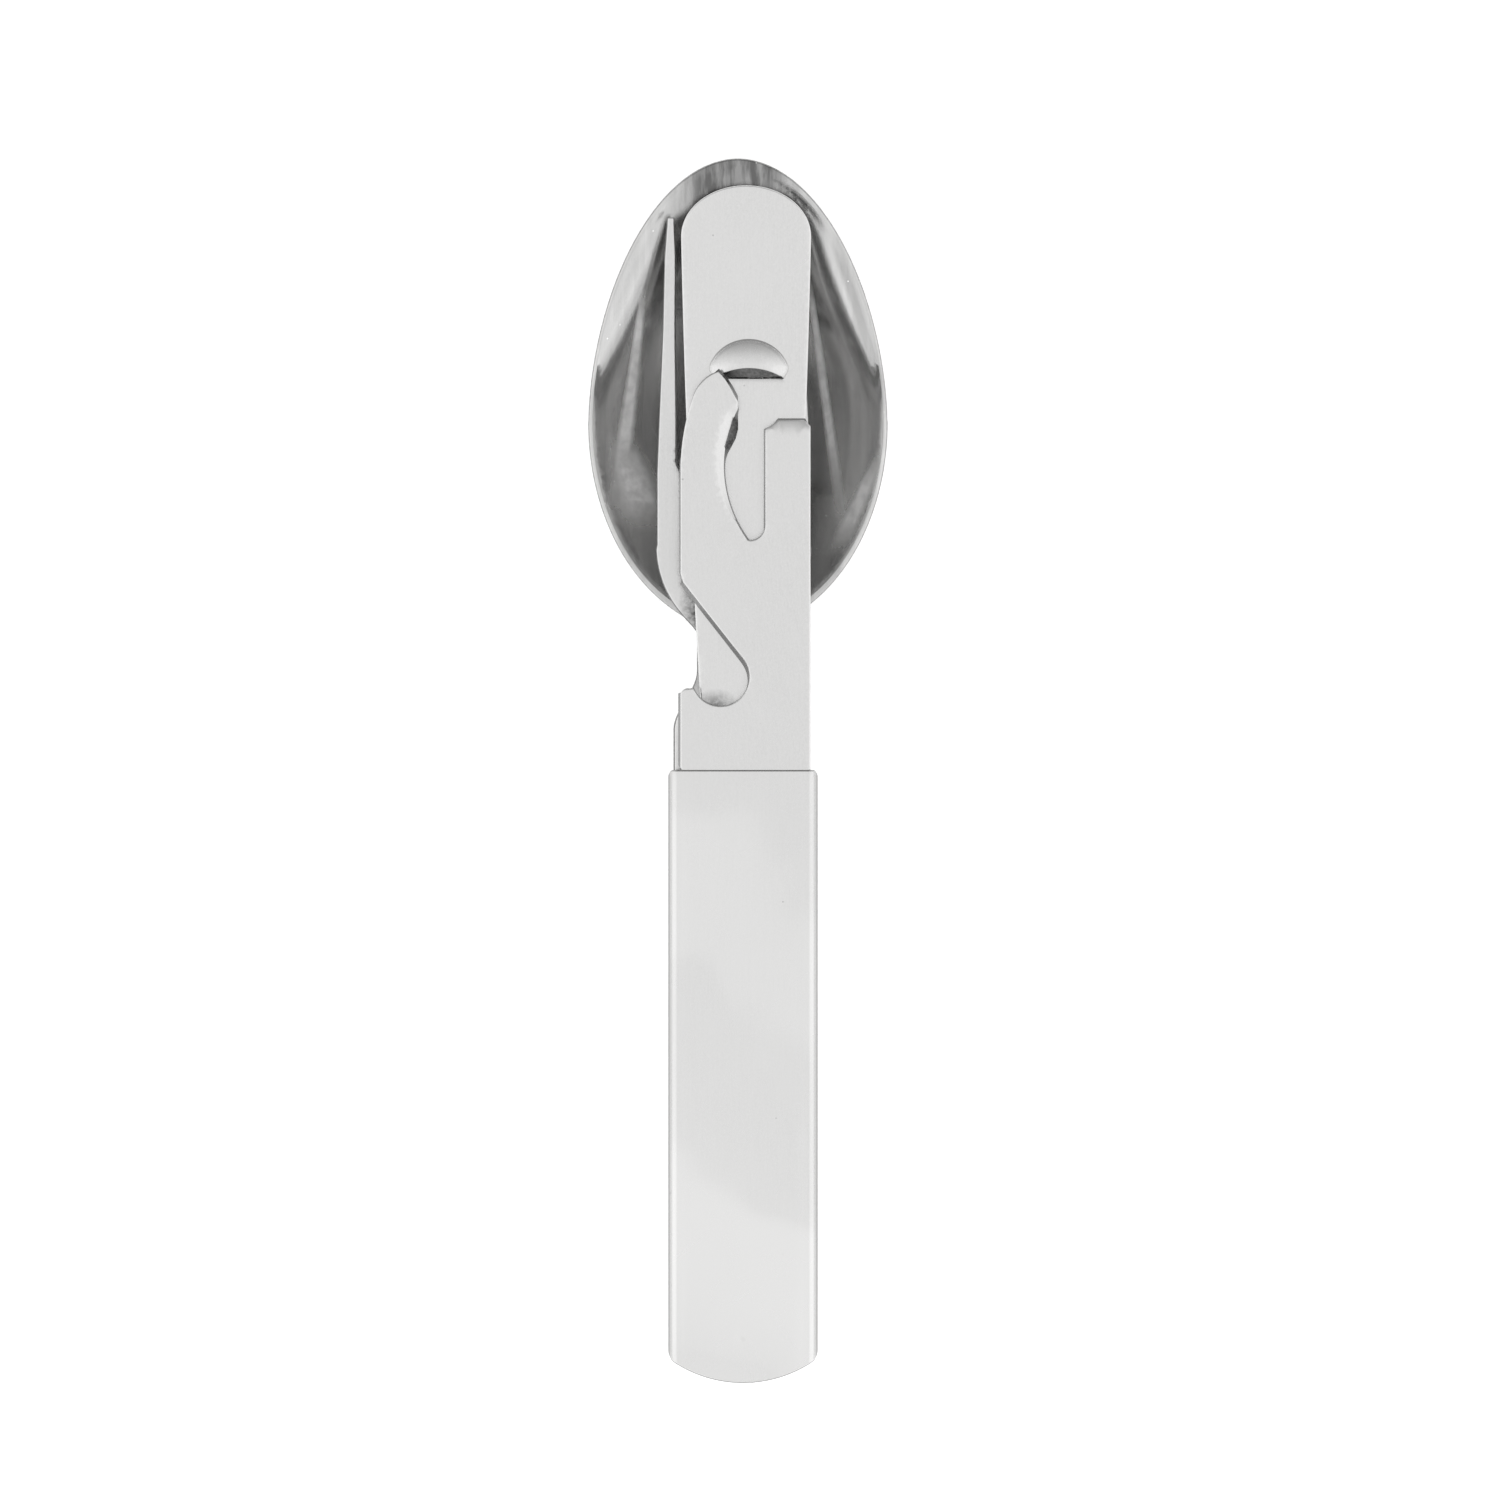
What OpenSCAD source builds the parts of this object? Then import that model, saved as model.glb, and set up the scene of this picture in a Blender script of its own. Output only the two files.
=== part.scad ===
// Nested mess cutlery: spoon, fork and knife whose handles slide into a folded sheet sleeve,
// with a can and bottle opener plate spot-welded under the sleeve's web.
// +Y runs towards the bowl's nose, +Z towards the opener side, Y = 0 is the sleeve's mouth
// and Z = 0 is the lowest point of the bowl.

/* [Sleeve] */
// Length of the sleeve, from its mouth to the end of its tail
sleeve_l = 90; // [86:0.5:96]
// Outer width of the sleeve
sleeve_w = 22; // [22:0.1:24]
// Thickness of the folded sheet
sleeve_t = 0.6; // [0.4:0.05:0.6]
// Inner radius of the two folds beside the web
web_fold_r = 0.9; // [0.3:0.05:0.95]
// Inner radius of the two folds beside the back lips
lip_fold_r = 0.6; // [0.3:0.05:0.65]
// Length of each back lip, from the outside of the wall
lip_w = 5; // [3:0.1:7]
// Radius of the arc that ends the tail
tail_r = 18.4; // [16:0.1:24]
// Radius of the tail's two corners
tail_corner_r = 2; // [1:0.1:3]
// Radius of the two corners at the mouth
mouth_corner_r = 0.8; // [0.3:0.05:1.2]

/* [Opener] */
// Width of the opener plate
opener_w = 19.1; // [18.6:0.05:19.2]
// Thickness of the opener plate
opener_t = 2; // [1.6:0.1:2.2]
// Radius of the opener's long curved shoulder
shoulder_r = 32; // [30:0.5:34]
// Radius of the opener's nose
nose_r = 5.95; // [5:0.05:6.2]
// Radius of the bottle notch
notch_r = 4.26; // [3.8:0.02:4.4]
// Radius of the curved can cutting edge
cutter_r = 18.25; // [17.8:0.05:18.6]
// Distance of the flat screwdriver end from the sleeve's mouth
prong_l = 51.4; // [50:0.1:52]

/* [Knife] */
// Thickness of the knife
knife_t = 1.5; // [1.2:0.1:1.5]
// Width of the knife's handle at its round end
knife_w = 19.1; // [17:0.1:20]
// Distance of the handle's round end from the sleeve's mouth
knife_end_y = 85.9; // [82:0.1:88]
// Width of the blade
blade_w = 17.4; // [14:0.1:18.6]
// Distance of the blade's tip behind the sleeve's mouth
blade_l = 84; // [76:0.5:86]
// Radius of the pressed half-moon thumb catch
catch_r = 6; // [5:0.1:6.4]
// Height of the thumb catch above the handle
catch_h = 1.6; // [1.2:0.05:1.7]

/* [Fork] */
// Thickness of the fork
fork_t = 1.5; // [1.2:0.1:1.5]
// Width of the fork's head
fork_w = 22.4; // [20:0.1:22.8]
// Distance of the tine tips from the sleeve's mouth
fork_tip_y = 81.2; // [76:0.1:82]
// Number of tines
tines = 4; // [3:1:5]
// Width of one tine at its root
tine_w = 3.1; // [2.2:0.1:3.2]
// Drop of the head below the handle
fork_drop = 3.2; // [2.6:0.1:3.2]

/* [Spoon] */
// Thickness of the spoon's handle
spoon_t = 1.5; // [1.2:0.1:1.5]
// Width of the bowl
bowl_w = 44; // [40:0.5:48]
// Distance of the bowl's nose from the sleeve's mouth
bowl_nose_y = 90; // [86:0.5:92]
// Depth of the bowl inside, below its rim
bowl_depth = 8.5; // [7:0.1:10]
// Thickness of the bowl's wall
bowl_t = 1; // [0.8:0.1:1.2]
// Drop of the rim below the handle
spoon_drop = 3.4; // [3.4:0.1:4]

/* [Hidden] */
$fn = 96;
eps = 0.01;
steel = [0.86, 0.86, 0.85];
steel_dark = [0.74, 0.74, 0.74];

// Free play between two stacked pieces, and between the spoon and the back lips
play = 0.2;
lip_play = 0.4;
// Sideways rest position of each piece in the sleeve
opener_x = 0.37;
knife_x = 0.25;
fork_x = -1.37;
spoon_x = -0.75;

// Heights, from the bowl's lowest point up through the stack
rim_z = bowl_depth + bowl_t;
spoon_z = rim_z + spoon_drop - spoon_t;
fork_z = spoon_z + spoon_t + play;
knife_z = fork_z + fork_t + play;
opener_z = knife_z + knife_t + play;
web_z = opener_z + opener_t;
sleeve_top = web_z + sleeve_t;
lip_z = spoon_z - lip_play - sleeve_t;
sleeve_h = sleeve_top - lip_z;

// Spot welds that hold the opener plate under the web: [x, y], and the dimple of each
welds = [[2.5, -43.2], [-0.1, -83.7]];
weld_r = 1.3;
weld_depth = 0.15;

// Opener plate, measured from its own centre line
shank_w = 18.2;
shank_l = 86;
notch_c = [-3.67, 13.65];
notch_slope = 38;
hook_y = 12;
hook_r = 0.6;
shoulder_c = [shoulder_r - opener_w / 2, 44.05];
nose_a = 160.2;
nose_c = shoulder_c + (shoulder_r - nose_r) * [cos(nose_a), sin(nose_a)];
tip_a = 102.5;
tip = nose_c + nose_r * [cos(tip_a), sin(tip_a)];
tooth = [-0.9, 54];
cutter_c = [15.07, 44.6];
slot_x = 2.73;
slot_y = 33.77;
slot_corner_r = 1.2;
prong_bevel_l = 1.5;
prong_bevel_h = 1.3;
prong_chamfer = 0.9;
grind_c = [11.48, 45.53];
grind_r = 15.83;
grind_w = 1.15;
grind_h = 1.2;
tip_grind_l = 2.8;
tip_grind_h = 1.4;

// Knife
knife_end_l = 7.5;
knife_neck_y = 7;
heel_y = -4;
knife_slim = [0.0199, 0.00032];
catch_x = 0.4;
catch_y = 57.33;
catch_hollow = 1.8;
catch_lean = 30.7;
catch_cut_r = 16.9;
blade_bevel_w = 3;
blade_nose_l = 16;

// Fork
fork_handle_w = 17.6;
fork_handle_l = 83;
fork_neck_w = 10.8;
fork_heel_y = 33;
fork_heel_l = 13.1;
slot_root_y = 43.7;
tine_tip_w = 1.05;
tine_gather = 0.942;
// How a tine narrows: [share of its length, width]
tine_taper = [[0, tine_w], [0.56, 1.95], [0.84, 1.75], [1, tine_tip_w]];
fork_belly_y = 38;
fork_sweep = 3.0;

// Spoon
spoon_handle_w = 19;
spoon_handle_l = 84;
spoon_neck_w = 11.8;
shoulder_top_y = 14.6;
shoulder_l = 8.6;
bowl_wide_y = 51;
bowl_heel_l = 30.2;
bend_top_y = 21.5;
bend_low_y = 7;
bowl_rows = 40;
bowl_columns = 14;
handle_rows = 12;
neck_rows = 16;

// ---- Functions ----

// A smooth step from 0 to 1 as t goes from 0 to 1
function ease(t) = let (s = min(1, max(0, t))) s * s * (3 - 2 * s);

// The larger of two lengths, blended by a fillet where they are alike
function fillet_max(a, b) = pow(pow(a, 4) + pow(b, 4), 0.25);

// Points along an arc about c, from angle a0 to a1
function arc(c, r, a0, a1, n = 12) =
    [for (i = [0:n]) let (a = a0 + (a1 - a0) * i / n) c + r * [cos(a), sin(a)]];

// Half-width of the knife's handle at height y below the start of its round end
function knife_half_w(y) = let (d = knife_end_y - knife_end_l - y)
    knife_w / 2 - knife_slim[0] * d - knife_slim[1] * d * d;

// Half-width of the fork from its handle up to the roots of its tines
function fork_half_w(y) = y > fork_heel_y ? fork_w / 2 : fillet_max(
    fork_w / 2 * sqrt(max(0, 1 - pow((fork_heel_y - y) / fork_heel_l, 2))),
    fork_neck_w / 2 + (fork_handle_w - fork_neck_w) / 2 * ease((shoulder_top_y - y) / shoulder_l));

// Height of the fork's underside above its handle's underside
function fork_bend(y) = y < fork_belly_y
    ? -fork_drop * ease((y - bend_low_y) / (bend_top_y - bend_low_y))
    : -fork_drop + fork_sweep * pow((y - fork_belly_y) / (fork_tip_y - fork_belly_y), 2);

// Half-width of the spoon at y
function bowl_half_w(y) = y > bowl_wide_y
    ? bowl_w / 2 * pow(max(0, 1 - pow((y - bowl_wide_y) / (bowl_nose_y - bowl_wide_y), 1.8)), 0.51)
    : bowl_w / 2 * sqrt(max(0, 1 - pow((bowl_wide_y - y) / bowl_heel_l, 2)));
function spoon_half_w(y) = y > bowl_wide_y ? bowl_half_w(y) : fillet_max(bowl_half_w(y),
    spoon_neck_w / 2 + (spoon_handle_w - spoon_neck_w) / 2 * ease((shoulder_top_y - y) / shoulder_l));

// Depth of the bowl along its centre line, as a share of its greatest depth
function bowl_share(y) = let (l = y > bowl_wide_y ? bowl_nose_y - bowl_wide_y : bowl_heel_l)
    1 - pow(min(1, abs(y - bowl_wide_y) / l), 2.3);

// Height of the spoon's upper face before the bowl is pressed into it
function spoon_top(y) = rim_z + spoon_drop
    * (1 - ease((y - bend_low_y) / (bend_top_y - bend_low_y)));

// ---- Sleeve ----

// A rectangle with one radius at its two lower corners and another at its two upper ones
module rounded_rect(w, h, low_r, high_r) {
    translate([-w / 2 + low_r, 0]) square([w - 2 * low_r, h / 2]);
    translate([-w / 2 + high_r, h / 2]) square([w - 2 * high_r, h / 2]);
    translate([-w / 2, low_r]) square([w, h - low_r - high_r]);
    for (side = [-1, 1]) {
        translate([side * (w / 2 - low_r), low_r]) circle(low_r);
        translate([side * (w / 2 - high_r), h - high_r]) circle(high_r);
    }
}

// The folded section: web above, a wall on each side and two lips folded in below
module sleeve_section() {
    difference() {
        rounded_rect(sleeve_w, sleeve_h, lip_fold_r + sleeve_t, web_fold_r + sleeve_t);
        translate([0, sleeve_t])
            rounded_rect(sleeve_w - 2 * sleeve_t, sleeve_h - 2 * sleeve_t, lip_fold_r, web_fold_r);
        translate([-sleeve_w / 2 + lip_w, -1]) square([sleeve_w - 2 * lip_w, sleeve_t + 2]);
    }
}

// The plan of the sleeve: square mouth, round tail
module sleeve_plan() {
    half = sleeve_w / 2;
    corner_x = half - tail_corner_r;
    centre_y = tail_r - sleeve_l;
    corner_y = centre_y - sqrt(pow(tail_r - tail_corner_r, 2) - corner_x * corner_x);
    touch_x = corner_x * tail_r / (tail_r - tail_corner_r);
    translate([-half, corner_y]) square([sleeve_w, -corner_y - mouth_corner_r]);
    translate([-half + mouth_corner_r, -2 * mouth_corner_r])
        square([sleeve_w - 2 * mouth_corner_r, 2 * mouth_corner_r]);
    for (side = [-1, 1]) {
        translate([side * (half - mouth_corner_r), -mouth_corner_r]) circle(mouth_corner_r);
        translate([side * corner_x, corner_y]) circle(tail_corner_r);
    }
    intersection() {
        translate([0, centre_y]) circle(tail_r);
        translate([-touch_x, -sleeve_l - 1]) square([2 * touch_x, sleeve_l + corner_y + 1 + eps]);
    }
}

module sleeve() {
    dimple_r = (weld_r * weld_r + weld_depth * weld_depth) / (2 * weld_depth);
    color(steel) difference() {
        intersection() {
            translate([0, 0, lip_z]) rotate([90, 0, 0]) linear_extrude(sleeve_l) sleeve_section();
            translate([0, 0, lip_z - 1]) linear_extrude(sleeve_h + 2) sleeve_plan();
        }
        for (w = welds)
            translate([w[0], w[1], sleeve_top + dimple_r - weld_depth]) sphere(dimple_r);
    }
}

// ---- Opener plate ----

// The blank's outline before its notch and slot are cut, with the shank below Y = 0
module opener_blank() {
    half = opener_w / 2;
    polygon(concat(
        [[half, 0], [half, prong_l - prong_chamfer], [half - prong_chamfer, prong_l],
         [slot_x, prong_l], [slot_x, 40], [tooth[0], 40], tooth, tooth + [-0.8, 2.1],
         tip + [1.1, -1.15]],
        arc(nose_c, nose_r, tip_a, nose_a, 12),
        arc(shoulder_c, shoulder_r, nose_a, 180, 8),
        [[-half, 0]]));
    translate([-shank_w / 2, -shank_l]) square([shank_w, shank_l + hook_y / 2]);
}

module bottle_notch() {
    edge = -opener_w / 2;
    touch = notch_c + notch_r * [cos(notch_slope), sin(notch_slope)];
    rise = tan(90 - notch_slope);
    translate(notch_c) circle(notch_r);
    polygon([touch, [edge - 1, touch[1] + (touch[0] - edge + 1) * rise], [edge - 1, hook_y],
             [notch_c[0], hook_y]]);
}

// Rounds the outer corner of the hook
module hook_corner() {
    edge = -opener_w / 2;
    difference() {
        translate([edge - 1, hook_y - hook_r]) square([hook_r + 1, hook_r + 1]);
        translate([edge + hook_r, hook_y - hook_r]) circle(hook_r);
    }
}

// The open slot between the can cutter and the screwdriver prong
module cutter_slot() {
    corner_y = slot_y + slot_corner_r;
    difference() {
        intersection() {
            translate(cutter_c) circle(cutter_r);
            translate([-6, slot_y]) square([slot_x + 6, 30]);
        }
        difference() {
            translate([slot_x - slot_corner_r, slot_y - 1])
                square([slot_corner_r + 1, slot_corner_r + 1]);
            translate([slot_x - slot_corner_r, corner_y]) circle(slot_corner_r);
        }
    }
}

module opener_outline() {
    difference() {
        opener_blank();
        bottle_notch();
        hook_corner();
        cutter_slot();
    }
}

// The hollow grind behind the cutting edge, which runs out towards the slot's root
module cutter_grind() {
    over = 0.5;
    slope = grind_w / grind_h;
    translate([grind_c[0], grind_c[1], opener_t - grind_h])
        cylinder(h = grind_h + over, r1 = grind_r - grind_w, r2 = grind_r + slope * over);
}

// The wedge-shaped end of the screwdriver prong
module prong_bevel() {
    run = prong_bevel_l;
    rotate([90, 0, 90]) translate([0, 0, slot_x - 1]) linear_extrude(opener_w)
            polygon([[prong_l - run, opener_t + eps], [prong_l + 1, opener_t + eps],
                     [prong_l + 1, opener_t - prong_bevel_h * (run + 1) / run]]);
}

// The ground underside of the piercing tip, which clears the knife's thumb catch
module tip_grind() {
    start = tip[1] - tip_grind_l;
    rotate([90, 0, 90]) translate([0, 0, -opener_w / 2 - 1]) linear_extrude(opener_w / 2 + 2)
        polygon([[start, -eps], [tip[1] + 1, -eps],
                 [tip[1] + 1, tip_grind_h * (tip_grind_l + 1) / tip_grind_l]]);
}

module opener_plate() {
    color(steel) translate([opener_x, 0, opener_z]) difference() {
        linear_extrude(opener_t) opener_outline();
        intersection() {
            cutter_grind();
            translate([-opener_w, slot_y, -1]) cube([opener_w + slot_x - 1, 30, opener_t + 3]);
        }
        prong_bevel();
        tip_grind();
    }
}

// ---- Knife ----

module knife_outline() {
    start = knife_end_y - knife_end_l;
    half_blade = blade_w / 2;
    neck = knife_half_w(knife_neck_y);
    steps = 8;
    side = [for (i = [0:steps]) let (y = knife_neck_y + (start - knife_neck_y) * i / steps)
        [knife_half_w(y), y]];
    round_end = [for (i = [1:17]) let (a = 180 * i / 18)
        [knife_w / 2 * cos(a), start + knife_end_l * sin(a)]];
    nose = [for (i = [0:8]) let (a = 90 * i / 8)
        [-half_blade + blade_w * sin(a), -blade_l + blade_nose_l * (1 - cos(a))]];
    polygon(concat(
        [for (p = side) p], round_end, [for (i = [steps:-1:0]) [-side[i][0], side[i][1]]],
        [[-neck, 3], [-half_blade, heel_y]], nose, [[half_blade, heel_y], [neck, 3]]));
}

// A ball cap of the catch's radius that rises to height z above the handle's underside
module catch_cap(z, r) {
    h = z - (r == 0 ? 0 : knife_t);
    ball_r = (catch_r * catch_r + h * h) / (2 * h);
    translate([catch_x, catch_y, z - ball_r]) sphere(ball_r);
}

// Everything behind the slit along the catch's straight side
module behind_slit(low, high) {
    translate([catch_x - 2 * catch_r, catch_y, low]) cube([4 * catch_r, 2 * catch_r, high - low]);
}

// The lens-shaped gap that opens along the slit where the lip was pressed up and drawn back
module catch_gap() {
    intersection() {
        translate([catch_x, catch_y, 0]) rotate([-catch_lean, 0, 0])
            translate([0, -catch_cut_r, -5]) cylinder(h = 12, r = catch_cut_r);
        behind_slit(-1, knife_t + catch_h + 1);
    }
}

module knife() {
    edge_x = blade_w / 2;
    rise = knife_t + catch_h;
    color(steel) translate([knife_x, 0, knife_z]) difference() {
        union() {
            linear_extrude(knife_t) knife_outline();
            intersection() {
                catch_cap(rise, 1);
                behind_slit(knife_t / 2, rise + 1);
            }
        }
        intersection() {
            catch_cap(catch_hollow, 0);
            behind_slit(-1, rise + 1);
        }
        catch_gap();
        translate([0, heel_y - 2, 0]) rotate([90, 0, 0]) linear_extrude(blade_l)
            polygon([[edge_x - blade_bevel_w, -eps], [edge_x + 1, -eps],
                     [edge_x + 1, knife_t * 0.8 * (blade_bevel_w + 1) / blade_bevel_w]]);
    }
}

// ---- Fork ----

// One tine, centred at x at its root, leaning in towards its square tip
module tine(x) {
    long = fork_tip_y - slot_root_y;
    function edge(t, side) = [x * (1 + (tine_gather - 1) * t[0]) + side * t[1] / 2,
                              slot_root_y + long * t[0]];
    polygon(concat([for (t = tine_taper) edge(t, 1)],
        [for (i = [len(tine_taper) - 1:-1:0]) edge(tine_taper[i], -1)]));
}

module fork_plan() {
    pitch = (fork_w - tine_w) / (tines - 1);
    gap_r = (pitch - tine_w) / 2;
    head_y = slot_root_y + gap_r;
    low_y = bend_low_y - 2;
    half = fork_handle_w / 2;
    steps = 26;
    side = [for (i = [0:steps]) let (y = low_y + (fork_heel_y - low_y) * i / steps)
        [fork_half_w(y), y]];
    difference() {
        polygon(concat(side, [[fork_w / 2, head_y], [-fork_w / 2, head_y]],
            [for (i = [steps:-1:0]) [-side[i][0], side[i][1]]]));
        for (i = [1:tines - 1])
            translate([pitch * (i - tines / 2), head_y]) circle(gap_r);
    }
    translate([-half, half - fork_handle_l]) square([fork_handle_w, fork_handle_l - half + low_y]);
    intersection() {
        translate([0, half - fork_handle_l]) circle(half);
        translate([-half, -fork_handle_l]) square([fork_handle_w, half]);
    }
    for (i = [0:tines - 1]) tine(pitch * (i - (tines - 1) / 2));
}

// The bent sheet seen from the side, running along Y
module fork_side() {
    last = 44;
    ys = [for (i = [0:last]) bend_low_y + (fork_tip_y + 1 - bend_low_y) * i / last];
    polygon(concat(
        [[-fork_handle_l - 1, 0], [-fork_handle_l - 1, fork_t]],
        [for (i = [0:last]) [ys[i], fork_bend(ys[i]) + fork_t]],
        [for (i = [last:-1:0]) [ys[i], fork_bend(ys[i])]]));
}

module fork() {
    color(steel_dark) translate([fork_x, 0, fork_z]) intersection() {
        translate([0, 0, -fork_drop - 2]) linear_extrude(fork_drop + fork_t + 4) fork_plan();
        rotate([90, 0, 90]) translate([0, 0, -fork_w]) linear_extrude(2 * fork_w) fork_side();
    }
}

// ---- Spoon ----

// Stations along the spoon: handle end, handle, neck bend, bowl, nose
spoon_ys = concat(
    [for (i = [0:6]) -spoon_handle_l + 7 * (1 - cos(15 * i))],
    [for (i = [1:handle_rows - 1]) let (a = 7 - spoon_handle_l)
        a + (bend_low_y - 2 - a) * i / handle_rows],
    [for (i = [0:neck_rows - 1]) let (a = bend_low_y - 2) a + (bend_top_y + 3 - a) * i / neck_rows],
    [for (i = [0:bowl_rows]) let (a = bend_top_y + 3, t = i / bowl_rows)
        a + (bowl_nose_y - a) * (t + 0.16 * sin(180 * t))]);

// Outer half-width, which also rounds the handle's hidden end
function spoon_edge(y) = let (end_y = 7 - spoon_handle_l)
    y < end_y ? spoon_handle_w / 2 * (0.35 + 0.65 * sqrt(max(0, 1 - pow((end_y - y) / 7, 2))))
              : max(0.9, spoon_half_w(y));
function rim_width(y) = min(bowl_t, spoon_edge(y) / 3);

// Share of the full depth at u, the distance from the centre line over the half-width
function bowl_hollow(u) = 1 - pow(abs(u), 2.3);

// Height of the upper and the lower face at (u, y)
function spoon_face(u, y) = spoon_top(y) - bowl_depth * bowl_share(y + sign(y - bowl_wide_y))
    * bowl_hollow(u) * ease((y - bend_top_y + 2) / 6);
function spoon_back(u, y) = let (thick = bowl_t + (spoon_t - bowl_t) * ease((bend_top_y + 8 - y) / 14))
    spoon_top(y) - thick - bowl_depth * bowl_share(y) * bowl_hollow(u);

// One ring of points round the section at y: upper face left to right, lower face back again
function spoon_ring(y) = let (n = bowl_columns, w = spoon_edge(y), inner = w - rim_width(y)) concat(
    [[-w, y, spoon_top(y)]],
    [for (j = [0:n]) let (u = 2 * j / n - 1) [inner * u, y, spoon_face(u, y)]],
    [[w, y, spoon_top(y)]],
    [for (j = [n:-1:0]) let (u = 2 * j / n - 1) [w * u, y, spoon_back(u, y)]]);

// The flat cap over one end of the rings, as strips between the upper and the lower face
function spoon_cap(first, flip) = let (n = bowl_columns, last = first + 2 * n + 3)
    [for (f = concat([[first, first + 1, last], [first + n + 1, first + n + 2, first + n + 3]],
        [for (j = [0:n - 1]) [first + j + 1, first + j + 2, last - j - 1, last - j]]))
        flip ? [for (i = [len(f) - 1:-1:0]) f[i]] : f];

module spoon() {
    rings = len(spoon_ys);
    size = len(spoon_ring(0));
    points = [for (y = spoon_ys) each spoon_ring(y)];
    sides = [for (i = [0:rings - 2], j = [0:size - 1]) let (k = (j + 1) % size)
        each [[i * size + j, (i + 1) * size + j, (i + 1) * size + k],
              [i * size + j, (i + 1) * size + k, i * size + k]]];
    caps = concat(spoon_cap(0, false), spoon_cap((rings - 1) * size, true));
    color(steel) translate([spoon_x, 0, 0]) polyhedron(points, concat(sides, caps), convexity = 6);
}

sleeve();
opener_plate();
knife();
fork();
spoon();
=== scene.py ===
"""Looks for the nested mess cutlery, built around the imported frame.

Every piece stands where its CAD node stands. Shapes are worked out in millimetres, in each piece's
own place: x from its centre line, y from the sleeve's mouth and z from its lower face, which on the
fork is its handle's. make_piece() scales them to metres and puts them where the node's box is.
"""

import math

import bmesh
import bpy
import numpy as np
from mathutils import Matrix, Vector, noise
from mathutils.geometry import delaunay_2d_cdt


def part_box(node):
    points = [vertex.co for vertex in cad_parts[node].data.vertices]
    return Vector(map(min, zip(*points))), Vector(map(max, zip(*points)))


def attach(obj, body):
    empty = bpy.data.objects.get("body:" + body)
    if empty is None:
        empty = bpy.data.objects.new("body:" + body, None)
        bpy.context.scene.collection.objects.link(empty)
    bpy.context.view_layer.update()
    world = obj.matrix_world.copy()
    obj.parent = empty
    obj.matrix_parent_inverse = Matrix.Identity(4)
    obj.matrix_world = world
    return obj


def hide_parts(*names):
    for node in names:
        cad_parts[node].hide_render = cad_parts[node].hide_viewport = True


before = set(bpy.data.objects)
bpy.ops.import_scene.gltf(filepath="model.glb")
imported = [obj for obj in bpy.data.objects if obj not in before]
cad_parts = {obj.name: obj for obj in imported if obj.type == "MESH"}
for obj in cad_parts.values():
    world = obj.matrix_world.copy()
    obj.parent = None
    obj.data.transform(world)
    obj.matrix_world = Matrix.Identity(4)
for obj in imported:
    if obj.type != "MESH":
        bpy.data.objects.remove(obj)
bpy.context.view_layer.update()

MM = 0.001


def node_box(node):
    """A CAD node's lowest and highest corner, in millimetres."""
    low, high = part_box(node)
    return low / MM, high / MM


SLEEVE_LOW, SLEEVE_HIGH = node_box("sleeve")
OPENER_LOW, OPENER_HIGH = node_box("opener_plate")
KNIFE_LOW, KNIFE_HIGH = node_box("knife")
FORK_LOW, FORK_HIGH = node_box("fork")
SPOON_LOW, SPOON_HIGH = node_box("spoon")

# ---- Driving dimensions, in millimetres ----

# Sleeve
SHEET_T = 0.6
WEB_FOLD_R = 0.9
LIP_FOLD_R = 0.6
LIP_W = 5.0
TAIL_R = 18.4
TAIL_CORNER_R = 2.0
MOUTH_CORNER_R = 0.8
SHEET_EDGE_R = 0.16
# How far the sleeve's mouth and tail edges lean out on the outer side, so that their dark cut material
# shows from above as a painted contact shadow line
CUT_LEAN = 0.12
WEB_SAG = 0.10
WEB_WAVE = 0.16
WELDS = [(2.5, -43.2), (-0.1, -83.7)]
WELD_R = 1.3
WELD_DEPTH = 0.15

# Opener plate. Its shank is a little narrower and runs back under the web from SHANK_Y
OPENER_W = OPENER_HIGH.x - OPENER_LOW.x
OPENER_T = OPENER_HIGH.z - OPENER_LOW.z
SHANK_W = 18.2
SHANK_Y = -0.4
SHOULDER_R = 32.0
SHOULDER_Y = 44.05
NOSE_R = 5.95
NOSE_ANGLE = 160.2
TIP_ANGLE = 109.0
TIP_FRONT = Vector((1.0, -1.1))
TOOTH = Vector((-1.1, 54.1))
TOOTH_BACK = Vector((-1.1, 2.1))
CUTTER_C = Vector((15.07, 44.6))
CUTTER_R = 18.25
GRIND_C = Vector((11.48, 45.53))
GRIND_R = 15.83
GRIND_SLOPE = 0.6 / 1.15
GRIND_RUN_IN = 2.6
# How far the wall under the cutting edge leans out at its foot, by height along the plate. The flared
# wall, in the dark cut material, is painted shadow: it draws the dark wedge beside the cutting edge.
CUTTER_FLARE = [(44.2, 0.17), (45.5, 0.22), (46.5, 0.45), (47.7, 0.9), (49.0, 1.25), (50.4, 1.2),
                (51.4, 0.85), (52.3, 0.4), (53.2, 0.1)]
SLOT_X = 2.85
SLOT_Y = 33.77
SLOT_CORNER_R = 2.2
PRONG_Y = 51.4
PRONG_CHAMFER = 0.9
PRONG_CORNER = Vector((2.0, 1.4))
PRONG_BEVEL_L = 1.5
PRONG_BEVEL_H = 0.55
TIP_GRIND_L = 2.8
TIP_GRIND_H = 1.4
NOTCH_C = Vector((-3.67, 13.65))
NOTCH_R = 4.26
NOTCH_SLOPE = 38
NOTCH_CORNER = 0.7
HOOK_Y = 12.0
HOOK_R = 0.95
# How far the stamped walls lean out at their foot. Seen from above, the leaning walls show their dark
# cut material as painted contact shadows along the opener's edges.
TIP_LEAN = 0.38
NOSE_LEAN = 0.1
NOSE_LEAN_Y = 53.0
PRONG_LEAN = 0.25
SLOPE_LEAN = 0.55
SLOPE_TOP_Y = 28.0
NOTCH_LEAN = 0.05
NOTCH_LEAN_FROM = -40
EDGE_LEAN = 0.14
HOOK_LEAN = 0.34

# Knife
KNIFE_W = KNIFE_HIGH.x - KNIFE_LOW.x
KNIFE_T = 1.5
KNIFE_END_L = 7.5
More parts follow.
